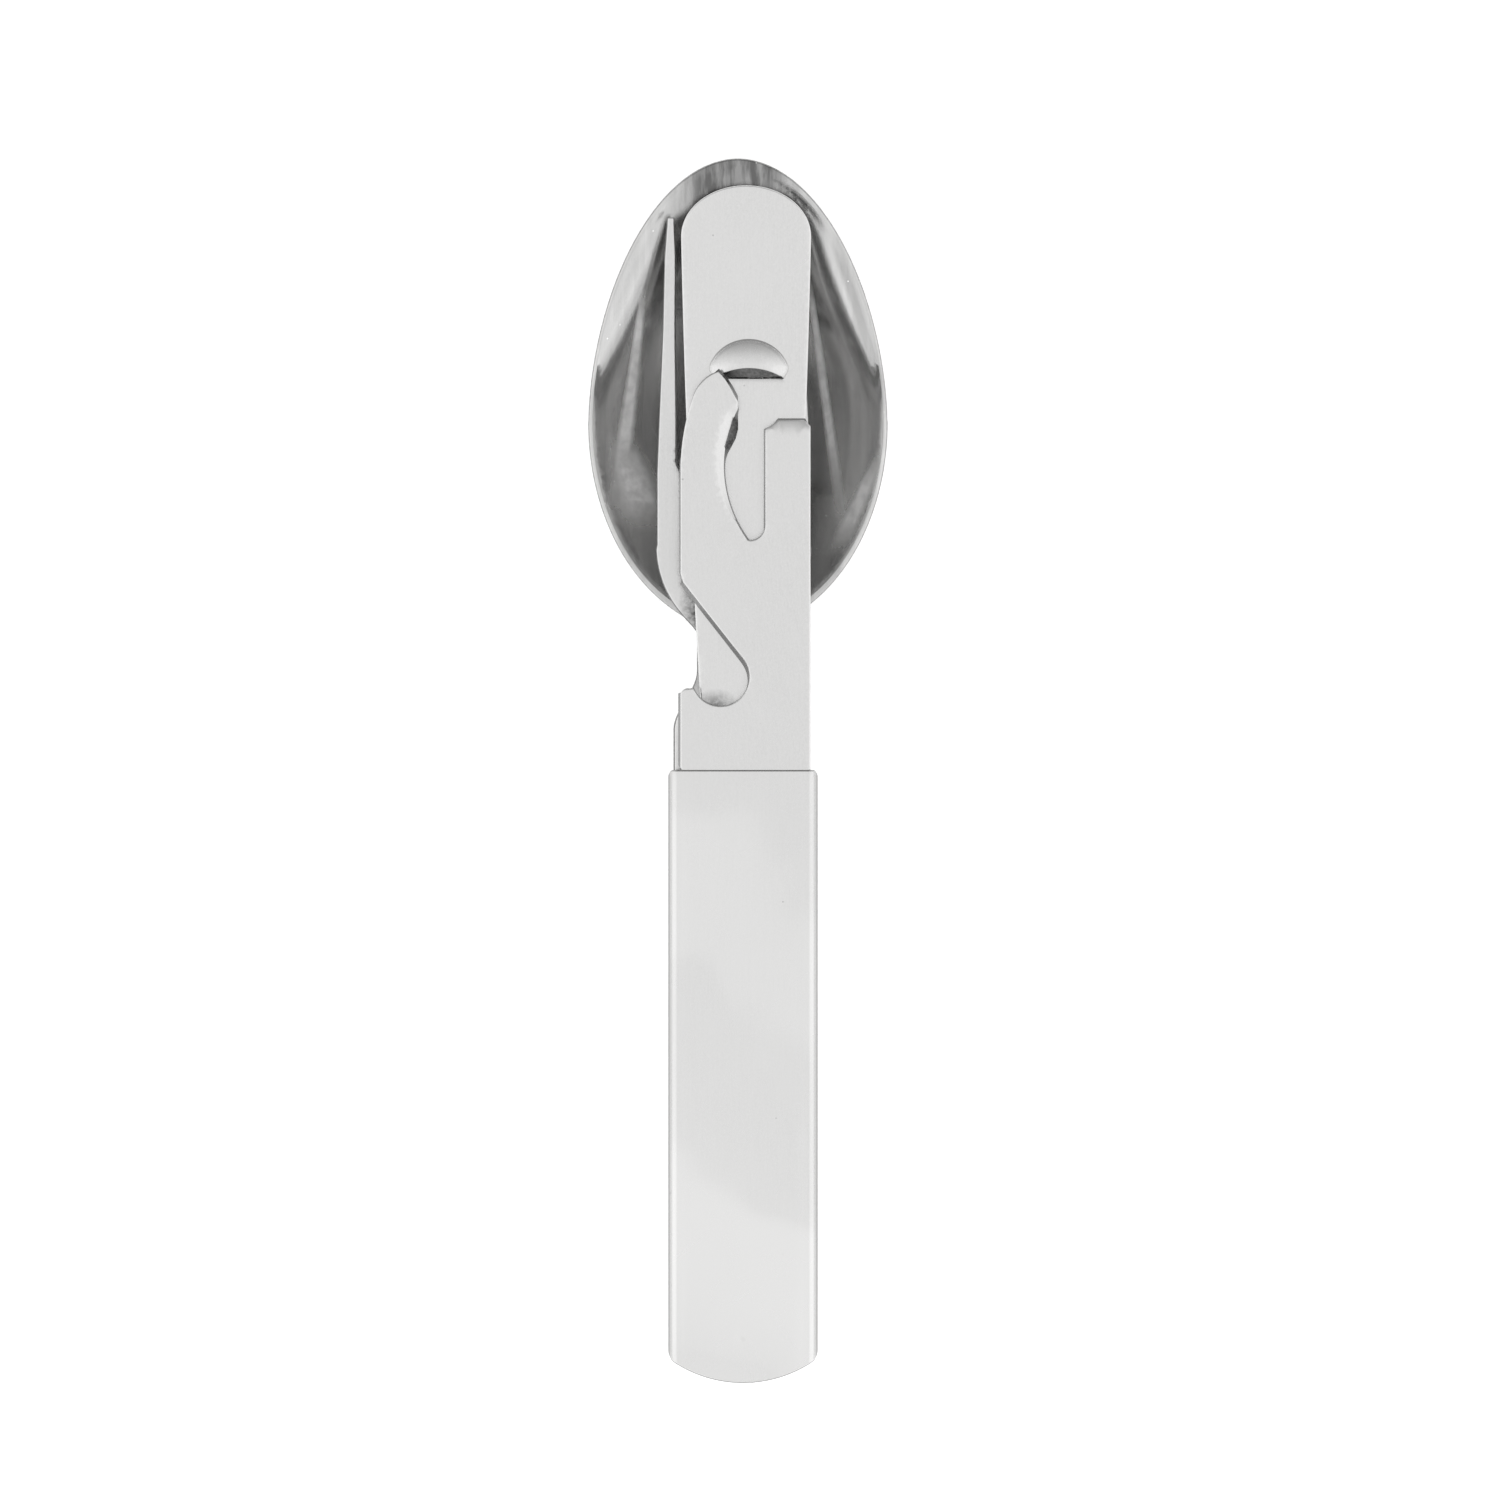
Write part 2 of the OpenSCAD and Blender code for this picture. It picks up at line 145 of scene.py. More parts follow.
# How the handle slims towards the blade: in proportion, and with the square of the distance
KNIFE_SLIM = (0.0199, 0.00032)
KNIFE_NECK_Y = 7.0
KNIFE_NECK_END_Y = 3.0
KNIFE_SHIFT = Vector((0.2, 0, 0))
BLADE_W = 17.4
BLADE_HEEL_Y = -4.0
BLADE_NOSE_L = 16.0
BLADE_BEVEL_W = 3.0
# Thumb catch: middle of its slit, half sizes, height above and hollow below, and the slit's own
# half width, opening and the width of the cut face that leans back over it
CATCH_C = Vector((0.4, 57.53))
CATCH_RX = 6.15
CATCH_RY = 5.8
CATCH_FOOT = 2.0
CATCH_STEP = 0.2
CATCH_H = 1.6
CATCH_HOLLOW = 1.8
CATCH_SLIT = 5.2
CATCH_GAP = 0.2
CATCH_FACE = 1.3

# Fork
FORK_W = FORK_HIGH.x - FORK_LOW.x
FORK_T = 1.5
FORK_HANDLE_W = 17.6
FORK_NECK_W = 10.8
FORK_HEEL_Y = 33.0
FORK_HEEL_L = 13.1
FORK_DROP = 3.2
FORK_BELLY_Y = 38.0
FORK_SWEEP = 3.0
TINES = 4
TINE_W = 3.1
TINE_ROOT_Y = 43.7
TINE_GATHER = 0.942
TINE_TAPER = [(0, TINE_W), (0.56, 1.95), (0.84, 1.75), (1, 1.05)]

# Spoon
BOWL_W = SPOON_HIGH.x - SPOON_LOW.x
BOWL_NOSE_Y = SPOON_HIGH.y
BOWL_WIDE_Y = 51.0
BOWL_HEEL_L = 30.2
# Powers of the curve that the bowl's outline follows towards its nose
BOWL_TAPER = 1.8
BOWL_ROUND = 0.51
BOWL_DEPTH = 8.5
BOWL_T = 1.0
SPOON_T = 1.5
SPOON_DROP = 3.4
SPOON_HANDLE_W = 19.0
SPOON_NECK_W = 11.8
SPOON_END_L = 7.0
SPOON_END_FLAT = 0.35
RIM_W = 0.6
RIM_STEP = 0.14
RIM_FOOT = 0.982
# How much the bowl flattens out towards its rim, growing from the low line to the top line
FLANGE = 1.1
FLANGE_LOW_Y = 51.0
FLANGE_TOP_Y = 75.0
BOWL_POWER = 2.15
# The middle of the bowl's nose is flatter still: its place, half width, fades and share
BOWL_FLAT_X = -1.0
BOWL_FLAT_Y = 78.0
BOWL_FLAT_HALF_W = 8.5
BOWL_FLAT_FADE_X = 4.0
BOWL_FLAT_FADE_Y = 5.0
BOWL_FLAT_SHARE = 0.6

# Handles: where each neck widens into its shoulder, and where each head bends down
SHOULDER_TOP_Y = 14.6
SHOULDER_L = 8.6
BEND_LOW_Y = 7.0
BEND_TOP_Y = 21.5
# The spoon beyond its bend: where the bowl starts, and where and how fast the sheet thins for it
BOWL_START_Y = BEND_TOP_Y - 2
THIN_Y = BEND_TOP_Y + 8
THIN_L = 14.0

# Picture: its width on the object, the point in its middle, and how high the camera is above it
VIEW_W = 220.2
VIEW_C = Vector((1.03, 2.94))
VIEW_DISTANCE = 4000.0


# ---- Curves and outlines ----

def ease(t):
    """A smooth step from 0 to 1 as t goes from 0 to 1."""
    t = min(1.0, max(0.0, t))
    return t * t * (3 - 2 * t)


def ramp(points, t):
    """The value at t on the broken line through (t, value) points."""
    return float(np.interp(t, [p[0] for p in points], [p[1] for p in points]))


def polar(angle, radius=1.0):
    """The vector at an angle in degrees."""
    a = math.radians(angle)
    return Vector((radius * math.cos(a), radius * math.sin(a)))


def arc(centre, radius, start, end, step=0.5):
    """Points about step apart along an arc, angles in degrees."""
    n = max(3, math.ceil(abs(math.radians(end - start)) * radius / step))
    return [centre + polar(start + (end - start) * i / n, radius) for i in range(n + 1)]


def angle_to(centre, point):
    """Direction from centre to point, in degrees."""
    return math.degrees(math.atan2(point.y - centre.y, point.x - centre.x))


def circle_x(centre, radius, y, side):
    """Where a circle crosses height y, on its left (side -1) or its right (side 1)."""
    return centre.x + side * math.sqrt(radius ** 2 - (y - centre.y) ** 2)


def on_circle(point, centre, radius, off=0.05):
    """Whether a point is on a circle's line, give or take off."""
    return abs((point - centre).length - radius) < off


def dense(loop, step):
    """A closed loop with extra points, so that none of its stretches is longer than step."""
    result = []
    for a, b in zip(loop, loop[1:] + loop[:1]):
        n = max(1, math.ceil((b - a).length / step))
        result += [a.lerp(b, i / n) for i in range(n)]
    return result


def inward(loop):
    """The mitre vector of each point of a loop, towards the material on its left."""
    result = []
    for i, point in enumerate(loop):
        before = (point - loop[i - 1]).normalized()
        after = (loop[(i + 1) % len(loop)] - point).normalized()
        a, b = Vector((-before.y, before.x)), Vector((-after.y, after.x))
        result.append((a + b) / max(0.5, 1 + a.dot(b)))
    return result


def fillet_max(a, b):
    """The larger of two lengths, blended by a fillet where they are alike."""
    return (a ** 4 + b ** 4) ** 0.25


def shoulder_half_w(y, neck_w, handle_w):
    """Half-width of a handle that widens below its neck."""
    return neck_w / 2 + (handle_w - neck_w) / 2 * ease((SHOULDER_TOP_Y - y) / SHOULDER_L)


# ---- Sheet and plate meshes ----

EDGE_STEPS = 3
ROUND_TOP = 0.28


def quarter_turn():
    """Angles of a rounded edge's points, from 0 to a right angle."""
    return [math.pi / 2 * i / EDGE_STEPS for i in range(EDGE_STEPS + 1)]


def round_edge(t, top=ROUND_TOP, bottom=0.2):
    """A plate edge's profile, (inset, height) from the upper face round to the lower one."""
    quarter = quarter_turn()
    return ([(top * (1 - math.sin(a)), t - top * (1 - math.cos(a))) for a in quarter]
            + [(bottom * (1 - math.cos(a)), bottom * (1 - math.sin(a))) for a in quarter])


def edge_foot(flare, inset, rise):
    """The last part of an edge's profile, chamfered by inset and rise at its foot."""
    shares = [i / EDGE_STEPS for i in range(EDGE_STEPS + 1)]
    return [(-flare + inset * share, rise * (1 - share)) for share in shares]


def leaning_edge(t, flare, top=0.22):
    """A rounded upper edge over a wall that leans out by flare at its foot."""
    quarter = quarter_turn()
    upper = [(top * (1 - math.sin(a)), t - top * (1 - math.cos(a))) for a in quarter]
    return upper + edge_foot(flare, 0.08, 0.1)


def ground_edge(t, width, height, flare):
    """An edge ground down from above, over a wall that leans out by flare at its foot."""
    shares = [i / EDGE_STEPS for i in range(EDGE_STEPS + 1)]
    return [(width * (1 - share), t - height * share) for share in shares] + edge_foot(flare, 0.1, 0.1)


def edge_rings(loop, profiles):
    """Rings of points round a loop, one for each step of its points' profiles."""
    mitres = inward(loop)
    return [[Vector((*(p + m * profile[k][0]), profile[k][1]))
             for p, m, profile in zip(loop, mitres, profiles)] for k in range(len(profiles[0]))]


def inside(points, loops):
    """Which points are inside the first loop and outside the others."""
    x, y = points[:, 0], points[:, 1]
    crossings = np.zeros(len(points), int)
    for loop in loops:
        for a, b in zip(loop, loop[1:] + loop[:1]):
            if a.y != b.y:
                reach = (b.x - a.x) * (y - a.y) / (b.y - a.y) + a.x
                crossings += ((a.y > y) != (b.y > y)) & (x < reach)
    return crossings % 2 == 1


def inner_grid(loops, creases, spacing):
    """Points of a triangular grid inside the loops, clear of the borders and creases."""
    border = np.array([p for line in loops + creases for p in line])
    low, high = border.min(0), border.max(0)
    rows = np.arange(low[1], high[1], spacing * math.sqrt(3) / 2)
    grid = np.array([(x + (k % 2) * spacing / 2, y) for k, y in enumerate(rows)
                     for x in np.arange(low[0], high[0], spacing)])
    grid = grid[inside(grid, loops)]
    nearest = np.full(len(grid), np.inf)
    for p in border:
        nearest = np.minimum(nearest, np.hypot(grid[:, 0] - p[0], grid[:, 1] - p[1]))
    return [Vector(p) for p in grid[nearest > 0.6 * spacing]]


def fill_face(bm, rims, height, creases, spacing, up):
    """Triangles over the face between rims of mesh points, at one height."""
    loops = [[v.co.xy for v in rim] for rim in rims]
    flat = [p for loop in loops for p in loop]
    edges, start = [], 0
    for loop in loops:
        edges += [(start + i, start + (i + 1) % len(loop)) for i in range(len(loop))]
        start += len(loop)
    for line in creases:
        edges += [(start + i, start + i + 1) for i in range(len(line) - 1)]
        start += len(line)
    extra = [p for line in creases for p in line] + inner_grid(loops, creases, spacing)
    spots, _, faces, origins = delaunay_2d_cdt(flat + extra, edges, [], 0, 1e-5)[:4]
    owners = [v for rim in rims for v in rim]
    verts = [owners[o[0]] if o and o[0] < len(owners) else bm.verts.new((*spot, height))
             for spot, o in zip(spots, origins)]
    middles = np.array([sum((spots[i] for i in f), Vector((0, 0))) / 3 for f in faces])
    for face, kept in zip(faces, inside(middles, loops)):
        if kept:
            bm.faces.new([verts[i] for i in (face if up else reversed(face))])


def plate(t, borders, lift, spacing, creases=(), wall=(3, 4)):
    """A plate's mesh. borders are (loop, profiles), the outline first and then its holes. lift bends
    the flat plate: it takes and returns a point. Rings wall[0] to wall[1] are its cut wall."""
    bm = bmesh.new()
    tops, bottoms = [], []
    for loop, profiles in borders:
        rings = [[bm.verts.new(p) for p in ring] for ring in edge_rings(loop, profiles)]
        for k, (upper, lower) in enumerate(zip(rings, rings[1:])):
            for i in range(len(loop)):
                j = (i + 1) % len(loop)
                face = bm.faces.new((lower[i], lower[j], upper[j], upper[i]))
                face.material_index = 1 if wall[0] <= k < wall[1] else 0
        tops.append(rings[0])
        bottoms.append(rings[-1])
    fill_face(bm, tops, t, list(creases), spacing, True)
    fill_face(bm, bottoms, 0.0, [], spacing, False)
    for v in bm.verts:
        v.co = lift(v.co)
    return bm


def make_piece(name, bm, node, body, materials, place, sharp=32):
    """Turns a mesh in millimetres into a piece that stands for a CAD node and rides with its body."""
    bmesh.ops.remove_doubles(bm, verts=bm.verts, dist=1e-4)
    bmesh.ops.transform(bm, matrix=Matrix.Diagonal((MM, MM, MM, 1)) @ Matrix.Translation(place),
                        verts=bm.verts)
    mesh = bpy.data.meshes.new(name)
    bm.to_mesh(mesh)
    bm.free()
    for material in materials:
        mesh.materials.append(material)
    mesh.shade_smooth()
    mesh.set_sharp_from_angle(angle=math.radians(sharp))
    piece = bpy.data.objects.new(name, mesh)
    bpy.context.scene.collection.objects.link(piece)
    shading = piece.modifiers.new("even_shading", "WEIGHTED_NORMAL")
    shading.keep_sharp = True
    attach(piece, body)
    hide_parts(node)


# ---- Materials ----

class Graph:
    """Adds nodes to a shader tree, each with its inputs linked or set."""

    def __init__(self, tree):
        self.tree = tree
        tree.nodes.clear()

    def add(self, kind, inputs=(), **settings):
        node = self.tree.nodes.new("ShaderNode" + kind)
        for key, value in settings.items():
            setattr(node, key, value)
        for key, value in dict(inputs).items():
            if isinstance(value, bpy.types.NodeSocket):
                self.tree.links.new(value, node.inputs[key])
            else:
                node.inputs[key].default_value = value
        return node

    def noise(self, coords, scale, detail=2.0, stretch=(1, 1, 1), turn=0.0, shift=(0, 0, 0)):
        """Noise with features about 1/scale metres across, finer where stretch is larger. The
        stretched axes are turned about z, in degrees."""
        place = self.add("Mapping", {"Vector": coords, "Rotation": (0, 0, math.radians(turn)),
                                     "Location": shift, "Scale": [1 / s for s in stretch]},
                         vector_type="TEXTURE")
        return self.add("TexNoise", {"Vector": place.outputs[0], "Scale": scale,
                                     "Detail": detail}).outputs["Fac"]

    def remap(self, value, low, high, to_low, to_high):
        return self.add("MapRange", {0: value, 1: low, 2: high, 3: to_low, 4: to_high}).outputs[0]

    def math(self, operation, a, b):
        return self.add("Math", {0: a, 1: b}, operation=operation).outputs[0]

    def bump(self, height, strength, distance, normal=None):
        inputs = {"Height": height, "Strength": strength, "Distance": distance}
        if normal is not None:
            inputs["Normal"] = normal
        return self.add("Bump", inputs).outputs[0]

    def mix(self, factor, a, b):
        node = self.add("Mix", data_type="RGBA")
        node.clamp_factor = True
        for socket, value in ((node.inputs[0], factor), (node.inputs[6], a), (node.inputs[7], b)):
            if isinstance(value, bpy.types.NodeSocket):
                self.tree.links.new(value, socket)
            else:
                socket.default_value = value
        return node.outputs[2]


# Grain and scratches hardly change with height, so that they stay straight over swells and dips
FLAT_Z = 500

# Places of painted light and shade, in metres: (y, share) of the web's broad painted reflection, then
# (x, y, half width, half height) of painted shade spots, then (x, y, slope, half width, spread,
# length) of painted reflection streaks and bands in the bowl
WEB_REFLECTION_BANDS = [(-0.092, 0.5), (-0.084, 0.8), (-0.066, 0.95), (-0.059, 0.45), (-0.036, 0.3),
             (-0.03, 0.6), (-0.016, 0.55), (-0.008, 0.15), (0.0, 0.1)]
# Painted shadow on the knife, inside the opener's bottle notch
KNIFE_SHADOW_SPOT = (-0.0040, 0.0098, 0.0034, 0.0022)
# Painted shade on the fork's neck, in the gap under the knife
FORK_SHADE_SPOT = (-0.0070, 0.0232, 0.0027, 0.0058)
# Bright streaks of painted reflection in the bowl, which are also rougher
RIGHT_STREAK = (0.0099, 0.0708, 0.139, 0.0004, 0.014, 0.036)
LEFT_STREAK = (-0.0149, 0.0682, -0.127, 0.0005, 0.035, 0.032)
SIDE_STREAKS = [(0.0192, 0.0445, -0.43, 0.0009, 0.05, 0.013),
                (-0.0172, 0.0470, 0.30, 0.0024, 0.10, 0.012)]
# Darker bands of painted reflection in the bowl
DARK_REFLECTION_BANDS = [(0.0139, 0.0770, 0.316, 0.0008, 0.01, 0.030),
              (-0.0125, 0.0760, -0.434, 0.0010, 0.02, 0.028)]


def grey(value, warmth=0.003):
    """A slightly warm steel colour."""
    return (value * (1 + warmth), value, value * (1 - 2 * warmth), 1)


def broad_tone(g, coords, bands):
    """A soft change of tone along y, with wavering slanted borders."""
    way = g.add("SeparateXYZ", {0: coords})
    waver = g.remap(g.noise(coords, 60, 1.0), 0.0, 1.0, -0.012, 0.012)
    along = g.math("ADD", g.math("ADD", way.outputs["Y"], waver),
                   g.math("MULTIPLY", way.outputs["X"], 0.5))
    start, end = bands[0][0], bands[-1][0]
    curve = g.add("FloatCurve", {"Value": g.remap(along, start, end, 0.0, 1.0)})
    line = curve.mapping.curves[0]
    for y, share in bands[1:-1]:
        line.points.new((y - start) / (end - start), share)
    line.points[0].location = (0, bands[0][1])
    line.points[-1].location = (1, bands[-1][1])
    curve.mapping.update()
    return curve.outputs[0]


def scratches(g, coords, turn, sparse):
    """Thin scratches in one direction, 1 on a scratch and 0 elsewhere."""
    field = g.noise(coords, 1.0, 1.0, stretch=(3600, 70, FLAT_Z), turn=turn)
    return g.remap(field, sparse, sparse + 0.04, 0.0, 1.0)


def streak(g, coords, x, y, slope, width, spread, length):
    """A streak that starts at (x, y), in metres, leans and widens downwards, and fades out over its
    length: 1 on the streak and 0 elsewhere. Also its offset, from its middle line to the right."""
    way = g.add("SeparateXYZ", {0: coords})
    below = g.math("SUBTRACT", y, way.outputs["Y"])
    off = g.math("SUBTRACT", g.math("SUBTRACT", way.outputs["X"], x), g.math("MULTIPLY", below, slope))
    reach = g.math("MAXIMUM", g.math("ADD", g.math("MULTIPLY", below, spread), width), width)
    near = g.remap(g.math("DIVIDE", g.math("ABSOLUTE", off, 0.0), reach), 0.5, 1.3, 1.0, 0.0)
    ends = g.math("MULTIPLY", g.remap(below, -0.003, 0.003, 0.0, 1.0),
                  g.remap(below, 0.6 * length, length, 1.0, 0.0))
    return g.math("MULTIPLY", near, ends), off


def painted_shade_spot(g, coords, shade, tone, spot, depth):
    """A darkened, blotchy spot of painted shade."""
    x, y, half_w, half_h = spot
    place = g.add("Mapping", {"Vector": coords, "Location": (x, y, 0), "Scale": (half_w, half_h, 1)},
                  vector_type="TEXTURE")
    flat = g.add("VectorMath", {0: place.outputs[0], 1: (1, 1, 0)}, operation="MULTIPLY")
    away = g.add("VectorMath", {0: flat.outputs[0]}, operation="LENGTH").outputs["Value"]
    spread = g.math("MULTIPLY", g.remap(away, 0.1, 1.0, depth, 0.0),
                    g.remap(g.noise(coords, 1500, 3.0), 0.35, 0.6, 0.5, 1.0))
    return g.mix(spread, shade, grey(tone * 0.2))


# Each *_marks function adds one piece's own marks to its shade, most of them painted light and shade,
# and returns the new shade and how much rougher the steel is there.

def sheet_marks(g, coords, shade, tone):
    """Broad bands of painted reflection along the web, and painted shade on the folded side walls,
    which are darker.
    """
    # Painted reflection: lighter bands across the web
    shade = g.mix(broad_tone(g, coords, WEB_REFLECTION_BANDS), shade, grey(tone * 1.16))
    # Painted shade: the folded side walls, between the lips and the web, are darker
    height = g.add("SeparateXYZ", {0: coords}).outputs["Z"]
    low, high = SLEEVE_LOW.z * MM, SLEEVE_HIGH.z * MM
    above = g.remap(height, low, low + 0.0008, 0.0, 1.0)
    below = g.remap(height, high - 0.0008, high - 0.0002, 1.0, 0.0)
    return g.mix(g.math("MULTIPLY", above, below), shade, grey(tone * 0.5)), 0.0


def knife_marks(g, coords, shade, tone):
    """Painted shadow on the knife inside the opener's bottle notch, broken into blotches."""
    return painted_shade_spot(g, coords, shade, tone, KNIFE_SHADOW_SPOT, 0.75), 0.0


def fork_marks(g, coords, shade, tone):
    """Painted shade where the fork's neck bends down beside the knife."""
    return painted_shade_spot(g, coords, shade, tone, FORK_SHADE_SPOT, 1.0), 0.0


def painted_light_bands(g, coords, shade, tone):
    """Faint light bands along the bowl: painted reflections."""
    sheen_noise = g.noise(coords, 1.0, 2.0, stretch=(900, 60, FLAT_Z), shift=(0.2, 0.7, 0))
    return g.mix(g.remap(sheen_noise, 0.4, 0.7, 0.0, 0.5), shade, grey(tone * 1.3))


def painted_dark_nose(g, coords, shade, tone):
    """Dark streaks in the middle of the bowl's nose: painted reflections."""
    way = g.add("SeparateXYZ", {0: coords}).outputs
    aside = g.math("ABSOLUTE", g.math("SUBTRACT", way["X"], BOWL_FLAT_X * MM), 0.0)
    nose = g.math("MULTIPLY", g.remap(way["Y"], 0.076, 0.080, 0.0, 1.0),
                  g.remap(aside, 0.005, 0.010, 1.0, 0.0))
    marks = g.noise(coords, 1.0, 3.0, stretch=(900, 160, FLAT_Z), shift=(0.4, 0.1, 0))
    marks = g.math("MULTIPLY", nose, g.remap(marks, 0.4, 0.6, 0.55, 0.95))
    return g.mix(marks, shade, grey(tone * 0.22))


def painted_dark_between(g, coords, shade, tone, from_right, from_left):
    """A darker stretch of the bowl between its two long streaks, from its upper third down: painted
    reflection.
    """
    inner = g.math("MULTIPLY", g.remap(from_right, -0.0015, -0.0005, 1.0, 0.0),
                   g.remap(from_left, 0.0005, 0.0015, 0.0, 1.0))
    height = g.add("SeparateXYZ", {0: coords}).outputs["Y"]
    inner = g.math("MULTIPLY", inner, g.remap(height, 0.070, 0.080, 0.3, 0.0))
    return g.mix(inner, shade, grey(tone * 0.45))


def bowl_marks(g, coords, shade, tone):
    """Painted reflections in the spoon's bowl: light bands, dark streaks at the nose, darker bands,
    and bright streaks that are also rougher; then dust.
    """
    shade = painted_dark_nose(g, coords, painted_light_bands(g, coords, shade, tone), tone)
    # Painted reflection: darker bands along the bowl
    for band in DARK_REFLECTION_BANDS:
        shade = g.mix(g.math("MULTIPLY", streak(g, coords, *band)[0], 0.35), shade, grey(tone * 0.3))
    right, from_right = streak(g, coords, *RIGHT_STREAK)
    left, from_left = streak(g, coords, *LEFT_STREAK)
    shade = painted_dark_between(g, coords, shade, tone, from_right, from_left)
    # Painted highlights: the bright streaks, made patchy, and rougher there
    lights = g.math("MAXIMUM", right, left)
    for place in SIDE_STREAKS:
        lights = g.math("MAXIMUM", lights, streak(g, coords, *place)[0])
    patchy = g.math("MULTIPLY", lights, g.remap(g.noise(coords, 900, 3.0), 0.3, 0.6, 0.7, 1.0))
    shade = g.mix(patchy, shade, grey(0.95))
    dust = g.add("TexVoronoi", {"Vector": coords, "Scale": 420.0}).outputs["Distance"]
    shade = g.mix(g.remap(dust, 0.03, 0.06, 0.9, 0.0), shade, grey(0.99))
    return shade, g.math("MULTIPLY", patchy, 0.55)


def new_material(name):
    """A material with an empty shader tree, with its graph and its object coordinates."""
    material = bpy.data.materials.new(name)
    material.use_nodes = True
    g = Graph(material.node_tree)
    return material, g, g.add("TexCoord").outputs["Object"]


def bare_metal(g, shade, roughness, normal):
    """Ends a shader tree as metal with this colour, roughness and normal."""
    shader = g.add("BsdfPrincipled", {"Base Color": shade, "Roughness": roughness, "Normal": normal,
                                      "Metallic": 1.0})
    out = g.add("OutputMaterial")
    g.tree.links.new(shader.outputs[0], out.inputs[0])


def steel(name, tone, roughness, grain=(5200, 140), grain_turn=0.0, polish=0.0, marks=None):
    """Stainless steel: drawing grain, fine speckle, soft clouds, scratches, small pits, and then
    what marks adds."""
    material, g, coords = new_material(name)
    lines = g.noise(coords, 1.0, 3.0, stretch=(*grain, FLAT_Z), turn=grain_turn)
    speckle = g.noise(coords, 4200, 2.0, stretch=(1, 0.6, 1))
    clouds = g.noise(coords, 70, 2.0, shift=(0.13, 0.41, 0))
    hairs = g.math("MAXIMUM", scratches(g, coords, 24, 0.71), scratches(g, coords, -52, 0.73))
    cells = g.add("TexVoronoi", {"Vector": coords, "Scale": 190.0}).outputs["Distance"]
    pits = g.remap(cells, 0.02, 0.035, 1.0, 0.0)
    shade = g.mix(g.remap(speckle, 0.3, 0.7, 0.0, 1.0), grey(tone * 0.965), grey(tone * 1.025))
    shade = g.mix(g.remap(lines, 0.35, 0.65, 0.0, 0.3), shade, grey(tone * 1.07))
    shade = g.mix(g.remap(clouds, 0.35, 0.65, 0.0, 0.35), shade, grey(tone * 1.04))
    rougher = 0.0
    if marks:
        shade, rougher = marks(g, coords, shade, tone)
    shade = g.mix(g.math("MULTIPLY", pits, 0.45), shade, grey(tone * 0.45))
    gloss = g.math("ADD", g.remap(clouds, 0.3, 0.7, roughness * 0.9, roughness * 1.12),
                   g.math("MULTIPLY", hairs, 0.06))
    gloss = g.math("ADD", gloss, rougher)
    fade = 1 - polish
    normal = g.bump(lines, 0.5 * fade + 0.1, 0.000008)
    normal = g.bump(speckle, 0.35 * fade + 0.05, 0.00001, normal)
    normal = g.bump(g.math("ADD", hairs, pits), -0.12, 0.00001, normal)
    bare_metal(g, shade, gloss, normal)
    return material


def cut_wall_and_shadow_steel(name, tone):
    """The sheared wall of a stamped blank: rough, with tearing lines across it, and darker, which is
    partly painted shadow for the contact lines along the pieces' edges.
    """
    material, g, coords = new_material(name)
    tears = g.noise(coords, 1.0, 3.0, stretch=(3800, 3800, 500))
    shade = g.mix(g.remap(tears, 0.35, 0.65, 0.0, 1.0), grey(tone * 0.75), grey(tone * 1.2))
    bare_metal(g, shade, g.remap(tears, 0.3, 0.7, 0.34, 0.48), g.bump(tears, 0.6, 0.00004))
    return material


SHEET_STEEL = steel("satin_sheet_steel", 0.685, 0.26, grain=(3600, 260), marks=sheet_marks)
PLATE_STEEL = steel("ground_plate_steel", 0.69, 0.25, grain=(4200, 300), grain_turn=8)
KNIFE_STEEL = steel("satin_knife_steel", 0.70, 0.24, grain=(4200, 240), marks=knife_marks)
FORK_STEEL = steel("drawn_fork_steel", 0.67, 0.20, grain=(5200, 120), polish=0.3, marks=fork_marks)
BOWL_STEEL = steel("polished_bowl_steel", 0.58, 0.17, grain=(5200, 60), polish=0.3, marks=bowl_marks)
# Painted shadow: the cut walls' dark tone draws the dark contact lines along the edges of the pieces
SHEARED_AND_SHADOW_STEEL = cut_wall_and_shadow_steel("sheared_steel_and_painted_shadow", 0.22)
# Painted shade: the spoon's rounded outer edge is given a darker tone, so that it shows as a grey
# outline
RIM_SHADE_STEEL = cut_wall_and_shadow_steel("rounded_rim_painted_shade", 0.42)


# ---- Sleeve ----

def sleeve_path():
    """The folded sheet's middle line from one back lip's end to the other, with its normals:
    (x, z, outward x, outward z), z from the lips' outside."""
    half = (SLEEVE_HIGH.x - SLEEVE_LOW.x) / 2
    height = SLEEVE_HIGH.z - SLEEVE_LOW.z
    mid = SHEET_T / 2
    low_r, high_r = LIP_FOLD_R + mid, WEB_FOLD_R + mid
    folds = [(-half + mid + low_r, mid + low_r, low_r, 270, 180),
             (-half + mid + high_r, height - mid - high_r, high_r, 180, 90)]
    path = [(x, mid, 0, -1) for x in np.linspace(-half + LIP_W, folds[0][0], 5)[:-1]]
    for k, (x, z, r, start, end) in enumerate(folds):
        turn = [polar(start + (end - start) * i / 10) for i in range(11)]
        path += [(x + r * n.x, z + r * n.y, n.x, n.y) for n in turn]
        if k == 0:
            low_z, high_z = z, folds[1][1]
            path += [(-half + mid, low_z + (high_z - low_z) * i / 6, -1, 0) for i in range(1, 6)]
    across = 24
    right = [(-x, z, -nx, nz) for x, z, nx, nz in reversed(path)]
    web_x = folds[1][0]
    web = [(web_x + (-2 * web_x) * i / across, height - mid, 0, 1) for i in range(1, across)]
    return path + web + right


